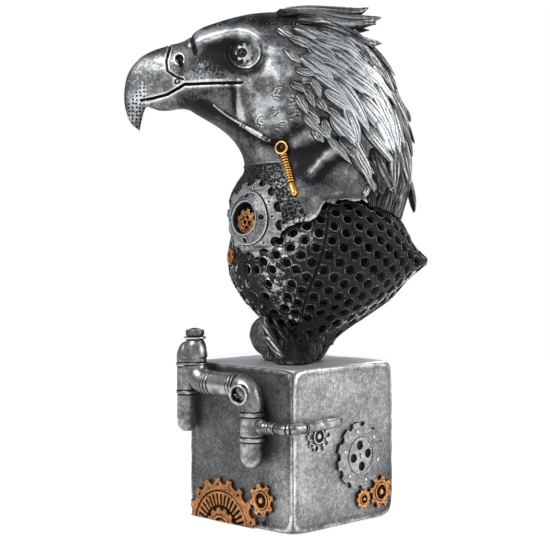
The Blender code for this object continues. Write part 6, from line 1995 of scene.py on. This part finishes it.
class EAGLE_OT_cheek_trim(bpy.types.Operator):
    """Model the trim on both cheeks: the jaw rod, the copper ring round a black stone and the spring rod"""

    bl_idname = "eagle.cheek_trim"
    bl_label = "Cheek trim"

    def execute(self, context):
        size = context.scene.eagle_trim
        for side, word in ((1, "left"), (-1, "right")):
            self.rod(side, word, size.rod / MM)
            self.ring(side, word, size.cheek_ring / MM)
            self.spring(side, word, size.spring / MM)
        return {"FINISHED"}

    def rod(self, side, word, thick):
        """The rod along the jaw: thin, with two collars, then swelling, with three small holes painted as dark
        spots.
        """
        shells = Shells(on_figure=True)
        steps, sides = 150, 20
        path = side_path(JAW_ROD, side, 0.9, steps)
        t = np.linspace(0, 1, steps)
        shape = (
            (0.0, 0.12), (0.02, 0.3), (0.44, 0.34), (0.465, 0.40), (0.47, 0.80), (0.485, 0.85), (0.495, 0.5),
            (0.51, 0.5), (0.52, 0.85), (0.535, 0.8), (0.55, 0.62), (0.66, 0.90), (0.80, 1.0), (0.93, 0.82),
            (0.99, 0.6), (1.0, 0.2),
        )
        points, faces = sweep(path, np.interp(t, *zip(*shape)) * thick, sides)
        dark = bump(t, 0.463, 0.006) + bump(t, 0.503, 0.007) + bump(t, 0.54, 0.006)
        shade = np.concatenate([np.repeat(0.74 - 0.6 * dark, sides), [0.4, 0.4]])
        for spot in (0.87, 0.92, 0.97):
            middle = path[int(spot * (steps - 1))] + np.array([0, 0, 0.3])
            shade -= 0.54 * bump(np.linalg.norm(points - middle, axis=1), thick * 0.85, 0.33)
        shells.add(points, faces, shade + 0.10 * ragged(points, 1.5, 91, 2))
        shells.build(word + "_jaw_rod_trim", "silver", [word + "_jaw_rod"], "antique_silver")

    def ring(self, side, word, r):
        """The copper ring round a black stone."""
        shells = Shells(on_figure=True)
        at, way = (rows[0] for rows in head_frame(*side_places([CHEEK_RING], side))[:2])
        profile = [
            (0.05, 1.3, 0.30), (r * 0.12, 1.28, 0.05), (r * 0.3, 1.1, 0.0), (r * 0.5, 0.7, -0.3),
            (r * 0.64, 0.4, -0.4), (r * 0.67, 1.2, 0.2), (r * 0.74, 1.8, 0.7), (r * 0.84, 1.95, 0.95),
            (r * 0.94, 1.5, 0.6), (r, 0.7, 0.1), (r, -2.4, 0.0),
        ]
        lay = partial(set_on, at=at + way * 0.6, normal=way)
        add_disc(shells, lay, profile, 56, grain=lambda points: 0.06 * ragged(points, 1.2, 92, 2))
        shells.build(word + "_cheek_ring_trim", "bright copper", [word + "_cheek_ring"], "worn_copper")

    def spring(self, side, word, thick):
        """The coiled rod with a plain, pointed end."""
        shells = Shells(on_figure=True)
        sides = 24
        path = side_path(SPRING, side, 0.9, 190)
        far = distances(path)
        t = far / far[-1]
        coil = 0.5 + 0.5 * np.cos(2 * math.pi * far / 1.9)
        plain = smoothstep(0.70, 0.72, t)
        end = np.sqrt(np.clip(1 - np.clip((t - 0.93) / 0.07, 0, 1) ** 2, 0.01, 1))
        plain_end = plain * (0.10 + 0.2 * np.sin((t - 0.7) / 0.3 * math.pi))
        points, faces = sweep(path, thick * (0.70 + 0.30 * coil * (1 - plain) + plain_end) * end, sides)
        shade = 0.02 + 0.78 * coil * (1 - plain) + 0.62 * plain - 0.5 * bump(t, 0.71, 0.012)
        shells.add(points, faces, np.concatenate([np.repeat(shade, sides), [0.5, 0.5]]))
        shells.build(word + "_spring_rod_trim", "bright copper", [word + "_spring_rod"], "worn_copper")


def stage_light(name, at, target, wide, power):
    lamp = bpy.data.lights.new(name, "AREA")
    lamp.shape = "RECTANGLE"
    lamp.size, lamp.size_y = wide
    lamp.energy = power
    holder = bpy.data.objects.new(name, lamp)
    bpy.context.scene.collection.objects.link(holder)
    holder.location = at
    holder.rotation_euler = (Vector(target) - Vector(at)).to_track_quat("-Z", "Y").to_euler()
    return holder


class EAGLE_OT_stage(bpy.types.Operator):
    """Set the pale floor, the soft studio lights and the camera at the photograph's viewing angle"""

    bl_idname = "eagle.stage"
    bl_label = "Floor, lights and camera"

    def execute(self, context):
        scene = context.scene
        size = scene.eagle_stage
        wide = 0.9
        mesh = bpy.data.meshes.new("floor")
        corners = [(x * wide, y * wide, 0.0) for x, y in ((-1, -1), (1, -1), (1, 1), (-1, 1))]
        mesh.from_pydata(corners, [], [(0, 1, 2, 3)])
        floor = bpy.data.objects.new("floor", mesh)
        scene.collection.objects.link(floor)
        paint = bpy.data.materials.new("pale floor")
        paint.use_nodes = True
        shader = paint.node_tree.nodes["Principled BSDF"]
        shader.inputs["Base Color"].default_value = (*size.floor, 1.0)
        shader.inputs["Roughness"].default_value = 0.85
        shader.inputs["Emission Color"].default_value = (1.0, 1.0, 1.0, 1.0)
        shader.inputs["Emission Strength"].default_value = size.glow
        mesh.materials.append(paint)

        world = bpy.data.worlds.new("studio")
        scene.world = world
        world.use_nodes = True
        tree = world.node_tree
        ground = tree.nodes["Background"]
        ground.inputs["Color"].default_value = (0.80, 0.86, 0.93, 1.0)
        ground.inputs["Strength"].default_value = 0.30
        seen = node(tree, "ShaderNodeBackground")
        seen.inputs["Color"].default_value = (1.0, 1.0, 1.0, 1.0)
        seen.inputs["Strength"].default_value = 1.0
        path = node(tree, "ShaderNodeLightPath")
        mix = node(tree, "ShaderNodeMixShader")
        tree.links.new(path.outputs["Is Camera Ray"], mix.inputs[0])
        tree.links.new(ground.outputs[0], mix.inputs[1])
        tree.links.new(seen.outputs[0], mix.inputs[2])
        tree.links.new(mix.outputs[0], tree.nodes["World Output"].inputs["Surface"])

        across, away = Vector((0.7071, 0.7071, 0.0)), Vector((-0.7071, 0.7071, 0.0))
        middle = Vector((0.0, 0.0, 0.17))
        up = Vector((0.0, 0.0, 1.0))
        for name, right, back, high, wide, power in (
            ("key", -0.45, -0.45, 0.62, (0.45, 0.45), size.key),
            ("fill", 0.75, -0.20, 0.25, (0.35, 0.7), size.fill),
            ("rim", 0.35, 0.60, 0.55, (0.5, 0.5), size.key * 0.7),
        ):
            target = middle + up * 0.03 if name == "key" else middle
            stage_light(name, middle + across * right + away * back + up * high, target, wide, power)

        camera = bpy.data.cameras.new("photo_camera")
        camera.lens = size.lens
        camera.sensor_width = 36.0
        camera.clip_start = 0.01
        eye = bpy.data.objects.new("photo_camera", camera)
        scene.collection.objects.link(eye)
        eye.location = (0.56466, -0.57930, 0.1688)
        pitch = math.radians(-1.36)
        way = away * math.cos(pitch) + up * math.sin(pitch)
        eye.rotation_euler = way.to_track_quat("-Z", "Y").to_euler()
        scene.camera = eye
        scene.view_settings.view_transform = "Standard"
        return {"FINISHED"}


PIECES = (
    EAGLE_OT_plinth,
    EAGLE_OT_pipes,
    EAGLE_OT_plinth_gears,
    EAGLE_OT_mantle,
    EAGLE_OT_head,
    EAGLE_OT_plumage,
    EAGLE_OT_foot,
    EAGLE_OT_throat,
    EAGLE_OT_cheek_trim,
)


class EAGLE_PT_panel(bpy.types.Panel):
    """Steps that make the bust, in the order in which they run"""

    bl_label = "Eagle bust"
    bl_idname = "EAGLE_PT_panel"
    bl_space_type = "VIEW_3D"
    bl_region_type = "UI"
    bl_category = "Eagle"

    def draw(self, context):
        for operator in (EAGLE_OT_stage, *PIECES):
            self.layout.operator(operator.bl_idname)
        for attribute, group in SETTINGS.items():
            box = self.layout.box()
            box.label(text=group.__name__.removeprefix("Eagle"))
            for setting in group.__annotations__:
                box.prop(getattr(context.scene, attribute), setting)


def register():
    for kind in (*SETTINGS.values(), EAGLE_OT_stage, *PIECES, EAGLE_PT_panel):
        bpy.utils.register_class(kind)
    for attribute, group in SETTINGS.items():
        setattr(bpy.types.Scene, attribute, PointerProperty(type=group))


def unregister():
    for attribute in SETTINGS:
        delattr(bpy.types.Scene, attribute)
    for kind in reversed((*SETTINGS.values(), EAGLE_OT_stage, *PIECES, EAGLE_PT_panel)):
        bpy.utils.unregister_class(kind)


def main():
    register()
    for operator in (EAGLE_OT_stage, *PIECES):
        group, name = operator.bl_idname.split(".")
        getattr(getattr(bpy.ops, group), name)()


if __name__ == "__main__":
    main()
